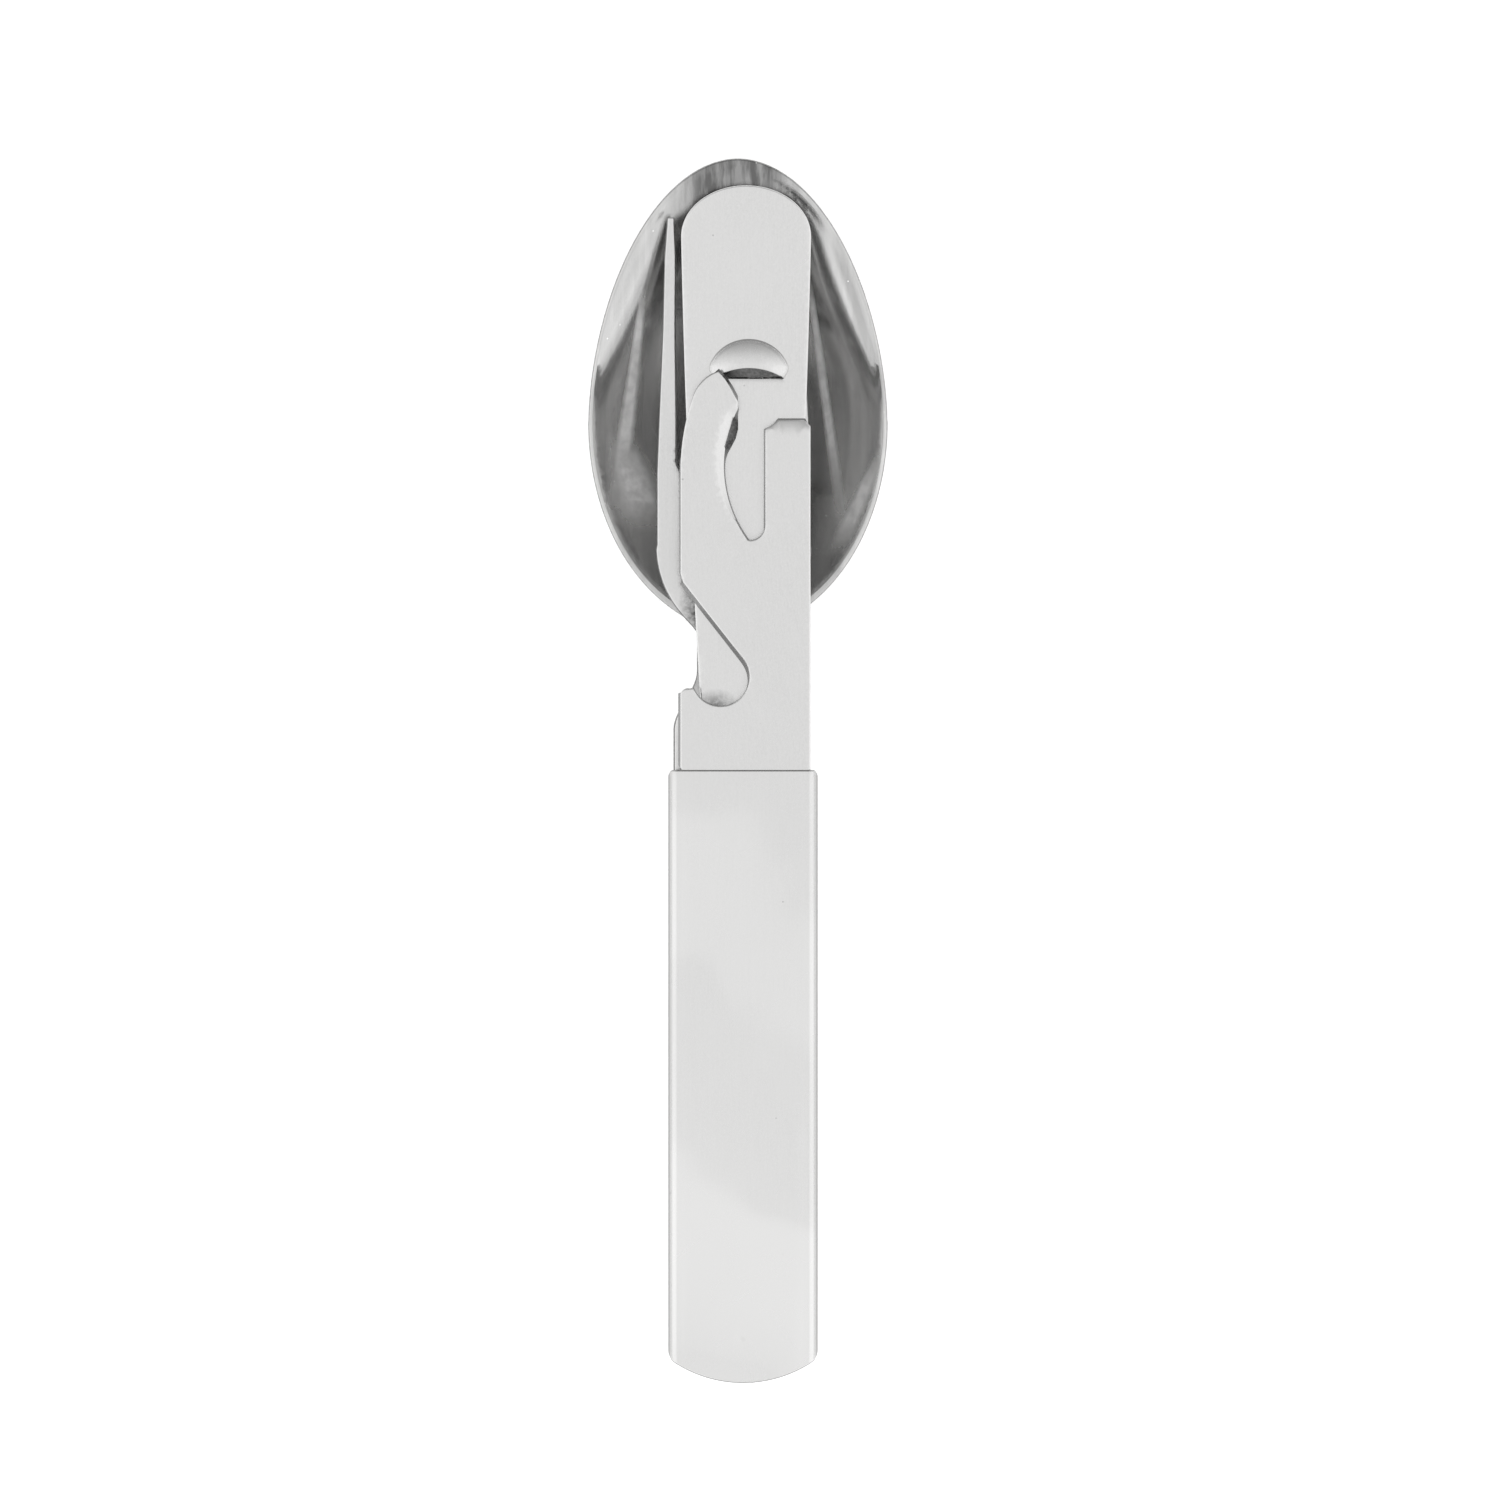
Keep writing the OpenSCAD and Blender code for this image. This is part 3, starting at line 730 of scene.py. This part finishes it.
def sleeve_ends(x):
    """Where the sleeve's mouth and tail are at x: square mouth, round tail, round corners."""
    half = (SLEEVE_HIGH.x - SLEEVE_LOW.x) / 2
    across = min(abs(x), half)
    into = max(0.0, across - half + MOUTH_CORNER_R)
    mouth = math.sqrt(max(0.0, MOUTH_CORNER_R ** 2 - into ** 2)) - MOUTH_CORNER_R
    corner_x = half - TAIL_CORNER_R
    centre_y = TAIL_R + SLEEVE_LOW.y
    corner_y = centre_y - math.sqrt((TAIL_R - TAIL_CORNER_R) ** 2 - corner_x ** 2)
    if across < corner_x * TAIL_R / (TAIL_R - TAIL_CORNER_R):
        return mouth, centre_y - math.sqrt(TAIL_R ** 2 - across ** 2)
    into = across - corner_x
    return mouth, corner_y - math.sqrt(max(0.0, TAIL_CORNER_R ** 2 - into ** 2))


def sleeve_relief(x, y):
    """Small dips and swells of the web: the spot welds, a slight sag, and waves about 11 mm wide and
    22 mm long."""
    half = (SLEEVE_HIGH.x - SLEEVE_LOW.x) / 2
    relief = 0.0
    for wx, wy in WELDS:
        r = math.hypot(x - wx, y - wy) / WELD_R
        relief -= WELD_DEPTH * max(0.0, 1 - r * r) ** 2
    hold = ease((half - 1.4 - abs(x)) / 3)
    wave = noise.noise(Vector((x * 0.09, y * 0.045, 3.1)))
    return relief - WEB_SAG * ease((half - 1.0 - abs(x)) / 2.2) + WEB_WAVE * hold * wave


def sleeve_rows(stations=72):
    """(share of the way from mouth to tail, set-back, half thickness) of each ring. The set-back and
    the half thickness round the sheet's edge at both ends."""
    mid = SHEET_T / 2
    rounding = [(SHEET_EDGE_R * (1 - math.cos(a)), mid - SHEET_EDGE_R * (1 - math.sin(a)))
                for a in quarter_turn()]
    rows = [(0, back, half_t) for back, half_t in rounding]
    rows += [(i / stations, SHEET_EDGE_R, mid) for i in range(1, stations)]
    return rows + [(1, back, half_t) for back, half_t in reversed(rounding)]


def sleeve_ring(path, share, back, half_t):
    """Points round the sheet's section, along its outer side and back along its inner one."""
    sides = []
    for side, lean in ((half_t, CUT_LEAN), (-half_t, 0)):
        points = []
        for x, z, nx, nz in path:
            px, pz = x + nx * side, z + nz * side
            mouth, tail = sleeve_ends(px)
            first, last = mouth - lean - back, tail + lean + back
            y = first + (last - first) * share
            if nz > 0.99:
                pz += sleeve_relief(px, y)
            points.append(Vector((px, y, pz)))
        sides.append(points)
    return sides[0] + sides[1][::-1]


def build_sleeve():
    """A sheet folded into a flat channel with two back lips."""
    path = sleeve_path()
    bm = bmesh.new()
    rings = [[bm.verts.new(p) for p in sleeve_ring(path, *row)] for row in sleeve_rows()]
    n = len(path)
    for a, b in zip(rings, rings[1:]):
        for i in range(2 * n):
            j = (i + 1) % (2 * n)
            bm.faces.new((a[i], a[j], b[j], b[i]))
    # The end caps take the dark cut material: painted shadow along the mouth and tail
    for ring, up in ((rings[0], False), (rings[-1], True)):
        for i in range(n - 1):
            corners = (ring[i], ring[i + 1], ring[2 * n - 2 - i], ring[2 * n - 1 - i])
            face = bm.faces.new(corners if up else corners[::-1])
            face.material_index = 1
    bmesh.ops.recalc_face_normals(bm, faces=bm.faces)
    return bm


# ---- Opener plate ----

def prong_and_slot():
    """The outline up the right side, over the screwdriver prong and round to the slot's foot."""
    half = OPENER_W / 2
    slot_c = Vector((SLOT_X - SLOT_CORNER_R, SLOT_Y + SLOT_CORNER_R))
    return [Vector((half, 0)), Vector((half, PRONG_Y - PRONG_CHAMFER)),
            Vector((half - PRONG_CHAMFER, PRONG_Y)), Vector((SLOT_X + PRONG_CORNER.x, PRONG_Y)),
            Vector((SLOT_X, PRONG_Y - PRONG_CORNER.y))] + arc(slot_c, SLOT_CORNER_R, 0, -90, 0.2)


def cutter_head():
    """The outline up the cutting edge, over the tooth, the tip and the nose, and the tip itself."""
    foot = Vector((circle_x(CUTTER_C, CUTTER_R, SLOT_Y, -1), SLOT_Y))
    head_y = CUTTER_C.y + math.sqrt(CUTTER_R ** 2 - (TOOTH.x - CUTTER_C.x) ** 2)
    head = Vector((TOOTH.x, head_y))
    shoulder_c = Vector((SHOULDER_R - OPENER_W / 2, SHOULDER_Y))
    nose_c = shoulder_c + polar(NOSE_ANGLE, SHOULDER_R - NOSE_R)
    tip = nose_c + polar(TIP_ANGLE, NOSE_R)
    line = arc(CUTTER_C, CUTTER_R, 360 + angle_to(CUTTER_C, foot), angle_to(CUTTER_C, head), 0.4)
    line += [TOOTH, TOOTH + TOOTH_BACK, tip + TIP_FRONT] + arc(nose_c, NOSE_R, TIP_ANGLE, NOSE_ANGLE)
    return line + arc(shoulder_c, SHOULDER_R, NOSE_ANGLE, 180)[1:], tip


def bottle_notch():
    """The outline down the left side: slope into the notch, round it and over its hook."""
    half = OPENER_W / 2
    touch = NOTCH_C + polar(NOTCH_SLOPE, NOTCH_R)
    rise = math.tan(math.radians(90 - NOTCH_SLOPE))
    corner = Vector((-half, touch.y + (touch.x + half) * rise))
    hook_angle = angle_to(NOTCH_C, Vector((circle_x(NOTCH_C, NOTCH_R, HOOK_Y, -1), HOOK_Y)))
    slope = [corner + Vector((0, NOTCH_CORNER)), corner + (touch - corner).normalized() * NOTCH_CORNER]
    round_it = arc(NOTCH_C, NOTCH_R, NOTCH_SLOPE, hook_angle - 360 if hook_angle > 0 else hook_angle)
    return slope + round_it + arc(Vector((-half + HOOK_R, HOOK_Y - HOOK_R)), HOOK_R, 90, 180, 0.2)


def opener_loop():
    """The opener's outline, counter-clockwise from the shank's end, and its cutter's tip."""
    shank = SHANK_W / 2
    head, tip = cutter_head()
    loop = [Vector((shank, OPENER_LOW.y)), Vector((shank, SHANK_Y))] + prong_and_slot() + head
    loop += bottle_notch() + [Vector((-OPENER_W / 2, 0))]
    loop += [Vector((-shank, SHANK_Y)), Vector((-shank, OPENER_LOW.y))]
    return dense(loop, 0.9), tip


def cutter_wall(point):
    """(grind width, flare) of the cutting edge at a point of the outline, 0 away from that edge."""
    if point.x > 0.5 or not on_circle(point, CUTTER_C, CUTTER_R, 0.02):
        return 0.0, 0.0
    edge_x = circle_x(CUTTER_C, CUTTER_R, point.y, -1)
    width = max(0.0, edge_x - circle_x(GRIND_C, GRIND_R, point.y, -1))
    return width * ease((TOOTH.y - point.y) / GRIND_RUN_IN), ramp(CUTTER_FLARE, point.y)


def wall_lean(point, tip):
    """How far a stamped wall of the opener leans out at its foot, at a point of the outline; the lean
    shows its dark cut material from above as painted shadow. Round the notch it grows from an angle on
    its right side up to the slope."""
    x, y = point
    on_left = x < -OPENER_W / 2 + 0.05
    if y > tip.y - 0.1 or (y > TOOTH.y and x > tip.x):
        return TIP_LEAN
    if y > NOSE_LEAN_Y and x < tip.x:
        return NOSE_LEAN * ease((y - NOSE_LEAN_Y) / 4)
    if y > PRONG_Y - 0.01 and x > SLOT_X:
        return PRONG_LEAN
    if on_circle(point, NOTCH_C, NOTCH_R):
        round_it = (angle_to(NOTCH_C, point) - NOTCH_LEAN_FROM) / (NOTCH_SLOPE - NOTCH_LEAN_FROM)
        return NOTCH_LEAN + (SLOPE_LEAN - NOTCH_LEAN) * ease(round_it) * (x > NOTCH_C.x)
    if NOTCH_C.y < y < SLOPE_TOP_Y and x < 0.2 and not on_left:
        return SLOPE_LEAN
    if on_left and y > 0:
        return EDGE_LEAN if y > HOOK_Y else HOOK_LEAN
    if abs(x - SLOT_X) < 0.05:
        return EDGE_LEAN
    return 0.0


def build_opener():
    """The can and bottle opener plate."""
    loop, tip = opener_loop()
    profiles = []
    for p in loop:
        width, flare = cutter_wall(p)
        lean = max(flare, wall_lean(p, tip))
        if width > ROUND_TOP:
            profiles.append(ground_edge(OPENER_T, width, width * GRIND_SLOPE, flare))
        elif lean > 0:
            profiles.append(leaning_edge(OPENER_T, lean))
        else:
            profiles.append(round_edge(OPENER_T))
    bevel_y = PRONG_Y - PRONG_BEVEL_L
    tip_y = tip.y - TIP_GRIND_L

    def lift(p):
        x, y, z = p
        low, high = 0.0, OPENER_T
        if x > SLOT_X - 0.1 and y > bevel_y:
            high -= PRONG_BEVEL_H * (y - bevel_y) / PRONG_BEVEL_L
        if x < SLOT_X - 0.1 and y > tip_y:
            low += TIP_GRIND_H * (y - tip_y) / TIP_GRIND_L
        return Vector((x, y, low + (high - low) * z / OPENER_T))

    bevel_line = [Vector((x, bevel_y)) for x in np.linspace(SLOT_X + 0.45, OPENER_W / 2 - 0.45, 12)]
    return plate(OPENER_T, [(loop, profiles)], lift, 1.1, creases=[bevel_line])


# ---- Knife ----

def knife_half_w(y):
    """Half-width of the knife's handle, which slims towards its neck."""
    below = KNIFE_HIGH.y - KNIFE_END_L - y
    return KNIFE_W / 2 - KNIFE_SLIM[0] * below - KNIFE_SLIM[1] * below ** 2


def knife_loop():
    """The knife's outline, counter-clockwise from the blade's tip."""
    start = KNIFE_HIGH.y - KNIFE_END_L
    half = BLADE_W / 2
    neck = knife_half_w(KNIFE_NECK_Y)
    nose = [Vector((-half + BLADE_W * math.sin(a), KNIFE_LOW.y + BLADE_NOSE_L * (1 - math.cos(a))))
            for a in np.linspace(0, math.pi / 2, 16)]
    side = [Vector((knife_half_w(y), y)) for y in np.linspace(KNIFE_NECK_Y, start, 70)]
    top = [Vector((KNIFE_W / 2 * math.cos(a), start + KNIFE_END_L * math.sin(a)))
           for a in np.linspace(0, math.pi, 49)[1:-1]]
    loop = nose + [Vector((half, BLADE_HEEL_Y)), Vector((neck, KNIFE_NECK_END_Y))] + side + top
    loop += [Vector((-p.x, p.y)) for p in reversed(side)]
    loop += [Vector((-neck, KNIFE_NECK_END_Y)), Vector((-half, BLADE_HEEL_Y))]
    return dense(loop, 0.9)


def catch_loop():
    """The slit under the pressed-up thumb catch, clockwise, and the lean of its lip's cut face."""
    across = np.linspace(-1, 1, 33)
    lip = [CATCH_C + Vector((CATCH_SLIT * u, CATCH_GAP * (1 - u * u))) for u in across]
    slit = [CATCH_C + Vector((CATCH_SLIT * u, 0)) for u in across[::-1][1:-1]]
    lean = [CATCH_FACE * (1 - u * u) for u in across] + [0.0] * len(slit)
    return lip + slit, lean


def catch_rx(above):
    """Half width of the thumb catch at a height above its slit; the foot closes on the slit's ends."""
    return CATCH_SLIT + (CATCH_RX - CATCH_SLIT) * math.sin(math.pi / 2 * min(1.0, above / CATCH_FOOT))


def catch_height(x, y):
    """Share of the thumb catch's full height at a point of the handle."""
    across, above = abs(x - CATCH_C.x), y - CATCH_C.y
    if above <= 1e-6:
        return 0.0
    r = math.hypot(across / catch_rx(above), above / CATCH_RY)
    return max(0.0, 1 - r ** 3) * (1 - CATCH_STEP) + CATCH_STEP * ease((1 - r) / 0.05)


def catch_crease(share):
    """A line of equal height round the thumb catch, kept clear of the slit and its cut face."""
    line = []
    for a in np.linspace(0, 180, 70):
        n = polar(a, share)
        above = max(0.0, n.y) * CATCH_RY
        u = n.x * catch_rx(above) / CATCH_SLIT
        if above > CATCH_GAP + CATCH_FACE * max(0, 1 - u * u) + 0.1:
            line.append(CATCH_C + Vector((n.x * catch_rx(above), above)))
    return line


def blade_profile(point):
    """The edge's profile at a point of the outline: round, but ground to an edge along the blade."""
    share = ease((BLADE_HEEL_Y - 1 - point.y) / 3) * ease((point.x + 4) / 8)
    ground = [(0.02, KNIFE_T - 0.05 * i / 3) for i in range(4)]
    ground += [(BLADE_BEVEL_W * i / 3, 0.8 * KNIFE_T * (1 - i / 3)) for i in range(4)]
    return [(a[0] + (b[0] - a[0]) * share, a[1] + (b[1] - a[1]) * share)
            for a, b in zip(round_edge(KNIFE_T, 0.25, 0.2), ground)]


def slit_profile(lean):
    """The slit's edge at one point: a cut face that leans back by lean over a sharp lower edge."""
    top = [(lean + 0.1 * (1 - i / 3), KNIFE_T - 0.06 * i / 3) for i in range(4)]
    return top + [(0.0, 0.06 * (1 - i / 3)) for i in range(4)]


def build_knife():
    """The knife: stamped handle with a pressed thumb catch, and a blade ground from below."""
    loop = knife_loop()
    slit, leans = catch_loop()

    def lift(p):
        share = catch_height(p.x, p.y)
        rise = CATCH_HOLLOW + (CATCH_H - CATCH_HOLLOW) * p.z / KNIFE_T
        return Vector((p.x, p.y, p.z + rise * share))

    borders = [(loop, [blade_profile(p) for p in loop]), (slit, [slit_profile(w) for w in leans])]
    creases = [catch_crease(share) for share in (1, 0.95, 0.87, 0.77, 0.65)]
    return plate(KNIFE_T, borders, lift, 0.9, creases)


# ---- Fork ----

def fork_half_w(y):
    """Half-width of the fork below its tines."""
    if y > FORK_HEEL_Y:
        return FORK_W / 2
    heel = FORK_W / 2 * math.sqrt(max(0.0, 1 - ((FORK_HEEL_Y - y) / FORK_HEEL_L) ** 2))
    return fillet_max(heel, shoulder_half_w(y, FORK_NECK_W, FORK_HANDLE_W))


def tine_edge(x, share, side):
    """The edge of the tine rooted at x, at a share of its length, on one side."""
    length = FORK_HIGH.y - TINE_ROOT_Y
    return Vector((x * (1 + (TINE_GATHER - 1) * share) + side * ramp(TINE_TAPER, share) / 2,
                   TINE_ROOT_Y + length * share))


def fork_loop():
    """The fork's outline, counter-clockwise from the handle's end."""
    half = FORK_HANDLE_W / 2
    pitch = (FORK_W - TINE_W) / (TINES - 1)
    roots = [pitch * ((TINES - 1) / 2 - i) for i in range(TINES)]
    gap_r = (pitch - TINE_W) / 2
    first = gap_r / (FORK_HIGH.y - TINE_ROOT_Y)
    shares = [first + (1 - first) * i / 46 for i in range(47)]
    right = [Vector((fork_half_w(y), y)) for y in np.linspace(BEND_LOW_Y - 2, TINE_ROOT_Y, 56)]
    loop = arc(Vector((0, FORK_LOW.y + half)), half, -90, 0)[:-1] + [Vector((half, FORK_LOW.y + half))]
    loop += right
    for i, x in enumerate(roots):
        loop += [tine_edge(x, s, 1) for s in shares] + [tine_edge(x, s, -1) for s in shares[::-1]]
        if i < TINES - 1:
            a, b = tine_edge(x, first, -1), tine_edge(roots[i + 1], first, 1)
            mid, reach = (a + b) / 2, (a - b).length / 2
            loop += [mid + Vector((reach * math.cos(t), -gap_r * math.sin(t)))
                     for t in np.linspace(0, math.pi, 11)[1:-1]]
    loop += [Vector((-p.x, p.y)) for p in reversed(right)]
    loop += arc(Vector((0, FORK_LOW.y + half)), half, 180, 270)[:-1]
    return dense(loop, 0.9)


def fork_bend(y):
    """Height of the fork's underside above its handle's underside."""
    if y < FORK_BELLY_Y:
        return -FORK_DROP * ease((y - BEND_LOW_Y) / (BEND_TOP_Y - BEND_LOW_Y))
    along = (y - FORK_BELLY_Y) / (FORK_HIGH.y - FORK_BELLY_Y)
    return -FORK_DROP + FORK_SWEEP * along ** 2


def build_fork():
    """The fork: flat handle, bent neck, four tines."""
    loop = fork_loop()
    profiles = []
    for p in loop:
        thin = ease((p.y - TINE_ROOT_Y) / 10)
        profiles.append(round_edge(FORK_T, 0.34 - 0.06 * thin, 0.3))

    def lift(p):
        return Vector((p.x, p.y, p.z + fork_bend(p.y)))

    # Its rounded edges take the dark cut material too: painted shade that outlines the fork and its
    # tines
    return plate(FORK_T, [(loop, profiles)], lift, 0.8, wall=(1, 4))


# ---- Spoon ----

def bowl_half_w(y):
    """Half-width of the bowl: an ellipse towards the heel, a fuller curve towards the nose."""
    if y > BOWL_WIDE_Y:
        along = (y - BOWL_WIDE_Y) / (BOWL_NOSE_Y - BOWL_WIDE_Y)
        return BOWL_W / 2 * max(0.0, 1 - along ** BOWL_TAPER) ** BOWL_ROUND
    return BOWL_W / 2 * math.sqrt(max(0.0, 1 - ((BOWL_WIDE_Y - y) / BOWL_HEEL_L) ** 2))


def spoon_half_w(y):
    """Half-width of the whole spoon, bowl and handle."""
    return fillet_max(bowl_half_w(y), shoulder_half_w(y, SPOON_NECK_W, SPOON_HANDLE_W))


def nose_point(angle):
    """A point of the bowl's outline towards its nose, from 0 at its widest to 90 at the nose."""
    a = math.radians(angle)
    return Vector((BOWL_W / 2 * math.cos(a) ** (2 * BOWL_ROUND),
                   BOWL_WIDE_Y + (BOWL_NOSE_Y - BOWL_WIDE_Y) * math.sin(a) ** (2 / BOWL_TAPER)))


def spoon_loop():
    """The spoon's outline, counter-clockwise from the handle's end."""
    half = SPOON_HANDLE_W / 2
    end = [Vector((half * (SPOON_END_FLAT + (1 - SPOON_END_FLAT) * math.sin(a)),
                   SPOON_LOW.y + SPOON_END_L * (1 - math.cos(a))))
           for a in np.linspace(0, math.pi / 2, 12)]
    side = [Vector((spoon_half_w(y), y)) for y in np.linspace(4, BOWL_WIDE_Y, 90)]
    nose = [nose_point(a) for a in np.linspace(0, 90, 72)[1:]]
    right = end + side + nose
    return dense(right + [Vector((-p.x, p.y)) for p in reversed(right[:-1])], 0.8)


def bowl_scale(x, y):
    """Size of the copy of the bowl's outline, about the bowl's middle, that passes through a point.
    Towards the nose it is found by halving a range."""
    across, along = abs(x) / (BOWL_W / 2), y - BOWL_WIDE_Y
    if along <= 0:
        return math.hypot(across, along / BOWL_HEEL_L)
    along /= BOWL_NOSE_Y - BOWL_WIDE_Y
    low, high = 0.0, 2.0
    for _ in range(24):
        s = (low + high) / 2
        if (across / s) ** (1 / BOWL_ROUND) + (along / s) ** BOWL_TAPER > 1:
            low = s
        else:
            high = s
    return high


def spoon_faces(x, y):
    """Heights of the spoon's lower and upper face at a point, above the bowl's lowest point."""
    rim = BOWL_DEPTH + BOWL_T
    level = rim + SPOON_DROP * (1 - ease((y - BEND_LOW_Y) / (BEND_TOP_Y - BEND_LOW_Y)))
    t = BOWL_T + (SPOON_T - BOWL_T) * ease((THIN_Y - y) / THIN_L)
    if y < BOWL_START_Y:
        return level - t, level
    s = bowl_scale(x, y)
    inner = s / (1 - RIM_W / (BOWL_W / 2))
    depth = BOWL_DEPTH * ease((y - BOWL_START_Y) / 6)
    nose = ease((BOWL_FLAT_HALF_W - abs(x - BOWL_FLAT_X)) / BOWL_FLAT_FADE_X)
    nose *= ease((y - BOWL_FLAT_Y) / BOWL_FLAT_FADE_Y)
    flat = ease((y - FLANGE_LOW_Y) / (FLANGE_TOP_Y - FLANGE_LOW_Y)) * (1 + BOWL_FLAT_SHARE * nose)
    top = level - depth * max(0.0, 1 - inner ** BOWL_POWER) ** (1 + FLANGE * flat)
    top -= RIM_STEP * ease((1 - inner) / (1 - RIM_FOOT))
    low = level - t - depth * max(0.0, 1 - s ** BOWL_POWER) ** (1 + FLANGE * flat)
    return low, top


def build_spoon():
    """The spoon: flat handle, bent neck and a pressed bowl. Its plate is 1 thick until lift puts its
    two faces in place."""
    loop = spoon_loop()
    profiles = [round_edge(1.0, 0.36, 0.26) for _ in loop]

    def lift(p):
        low, high = spoon_faces(p.x, p.y)
        return Vector((p.x, p.y, low + (high - low) * p.z))

    shrink = 1 - RIM_W / (BOWL_W / 2)
    rim = [nose_point(a) for a in np.linspace(0, 90, 80)]
    low = [Vector((bowl_half_w(y), y)) for y in np.linspace(23.5, BOWL_WIDE_Y, 56)[:-1]]
    middle = Vector((0, BOWL_WIDE_Y))
    lines = []
    for scale in (shrink, shrink * RIM_FOOT):
        right = [middle + (p - middle) * scale for p in low + rim]
        lines.append(right + [Vector((-p.x, p.y)) for p in reversed(right[:-1])])
    # The rounded outer edge takes the darker rim material: painted shade
    return plate(1.0, [(loop, profiles)], lift, 0.6, creases=lines, wall=(1, 4))


# ---- Pieces ----

def centre_place(low, high, z):
    """Where a piece's own place starts: on its node's middle line, at the sleeve's mouth, at z."""
    return Vector(((low.x + high.x) / 2, 0, z))


make_piece("sleeve_body", build_sleeve(), "sleeve", "holder",
           [SHEET_STEEL, SHEARED_AND_SHADOW_STEEL], centre_place(SLEEVE_LOW, SLEEVE_HIGH, SLEEVE_LOW.z))
make_piece("opener_body", build_opener(), "opener_plate", "holder",
           [PLATE_STEEL, SHEARED_AND_SHADOW_STEEL], centre_place(OPENER_LOW, OPENER_HIGH, OPENER_LOW.z))
make_piece("knife_body", build_knife(), "knife", "knife",
           [KNIFE_STEEL, SHEARED_AND_SHADOW_STEEL], centre_place(KNIFE_LOW, KNIFE_HIGH, KNIFE_LOW.z) + KNIFE_SHIFT)
make_piece("fork_body", build_fork(), "fork", "fork",
           [FORK_STEEL, SHEARED_AND_SHADOW_STEEL], centre_place(FORK_LOW, FORK_HIGH, FORK_HIGH.z - FORK_T))
make_piece("spoon_body", build_spoon(), "spoon", "spoon",
           [BOWL_STEEL, RIM_SHADE_STEEL], centre_place(SPOON_LOW, SPOON_HIGH, 0))


# ---- Floor, light and camera ----

def make_floor():
    """A plain white floor under the object."""
    bm = bmesh.new()
    bmesh.ops.create_grid(bm, x_segments=1, y_segments=1, size=3.0)
    mesh = bpy.data.meshes.new("floor")
    bm.to_mesh(mesh)
    bm.free()
    material = bpy.data.materials.new("white_floor")
    material.use_nodes = True
    shader = material.node_tree.nodes["Principled BSDF"]
    shader.inputs["Base Color"].default_value = (0.92, 0.92, 0.92, 1)
    shader.inputs["Roughness"].default_value = 0.9
    shader.inputs["Emission Color"].default_value = (1, 1, 1, 1)
    shader.inputs["Emission Strength"].default_value = 0.42
    mesh.materials.append(material)
    floor = bpy.data.objects.new("floor", mesh)
    bpy.context.scene.collection.objects.link(floor)


def make_light():
    """A white tent: even overhead, brighter on both sides, darker past each end and at its foot."""
    world = bpy.data.worlds.new("tent")
    bpy.context.scene.world = world
    world.use_nodes = True
    g = Graph(world.node_tree)
    way = g.add("SeparateXYZ", {0: g.add("TexCoord").outputs["Generated"]})
    aside = g.math("ABSOLUTE", way.outputs["X"], 0.0)
    ahead = g.remap(way.outputs["Y"], 0.25, 0.65, 0.0, 1.0)
    behind = g.remap(way.outputs["Y"], -0.9, -0.4, 0.12, 0.0)
    sides = g.math("MULTIPLY", g.remap(aside, 0.1, 0.5, 0.0, 0.2), g.math("SUBTRACT", 1.0, ahead))
    far = g.remap(way.outputs["Y"], 0.6, 0.85, 0.0, 0.2)
    dark = g.math("ADD", g.math("ADD", g.math("MULTIPLY", ahead, 0.34), far), behind)
    low = g.remap(way.outputs["Z"], 0.0, 0.2, 0.75, 1.0)
    glow = g.math("MULTIPLY", low, g.math("SUBTRACT", g.math("ADD", sides, 0.98), dark))
    background = g.add("Background", {"Color": (1, 1, 1, 1), "Strength": glow})
    out = g.add("OutputWorld")
    g.tree.links.new(background.outputs[0], out.inputs[0])


def make_camera():
    """Straight above, through a long lens, with the bowl's nose at the top of the picture."""
    camera = bpy.data.cameras.new("camera")
    camera.sensor_width = 36
    camera.lens = camera.sensor_width * VIEW_DISTANCE / VIEW_W
    camera.clip_end = 20
    eye = bpy.data.objects.new("camera", camera)
    bpy.context.scene.collection.objects.link(eye)
    eye.location = Vector((VIEW_C.x, VIEW_C.y, SLEEVE_HIGH.z + VIEW_DISTANCE)) * MM
    bpy.context.scene.camera = eye


make_floor()
make_light()
make_camera()
bpy.context.scene.view_settings.view_transform = "Standard"
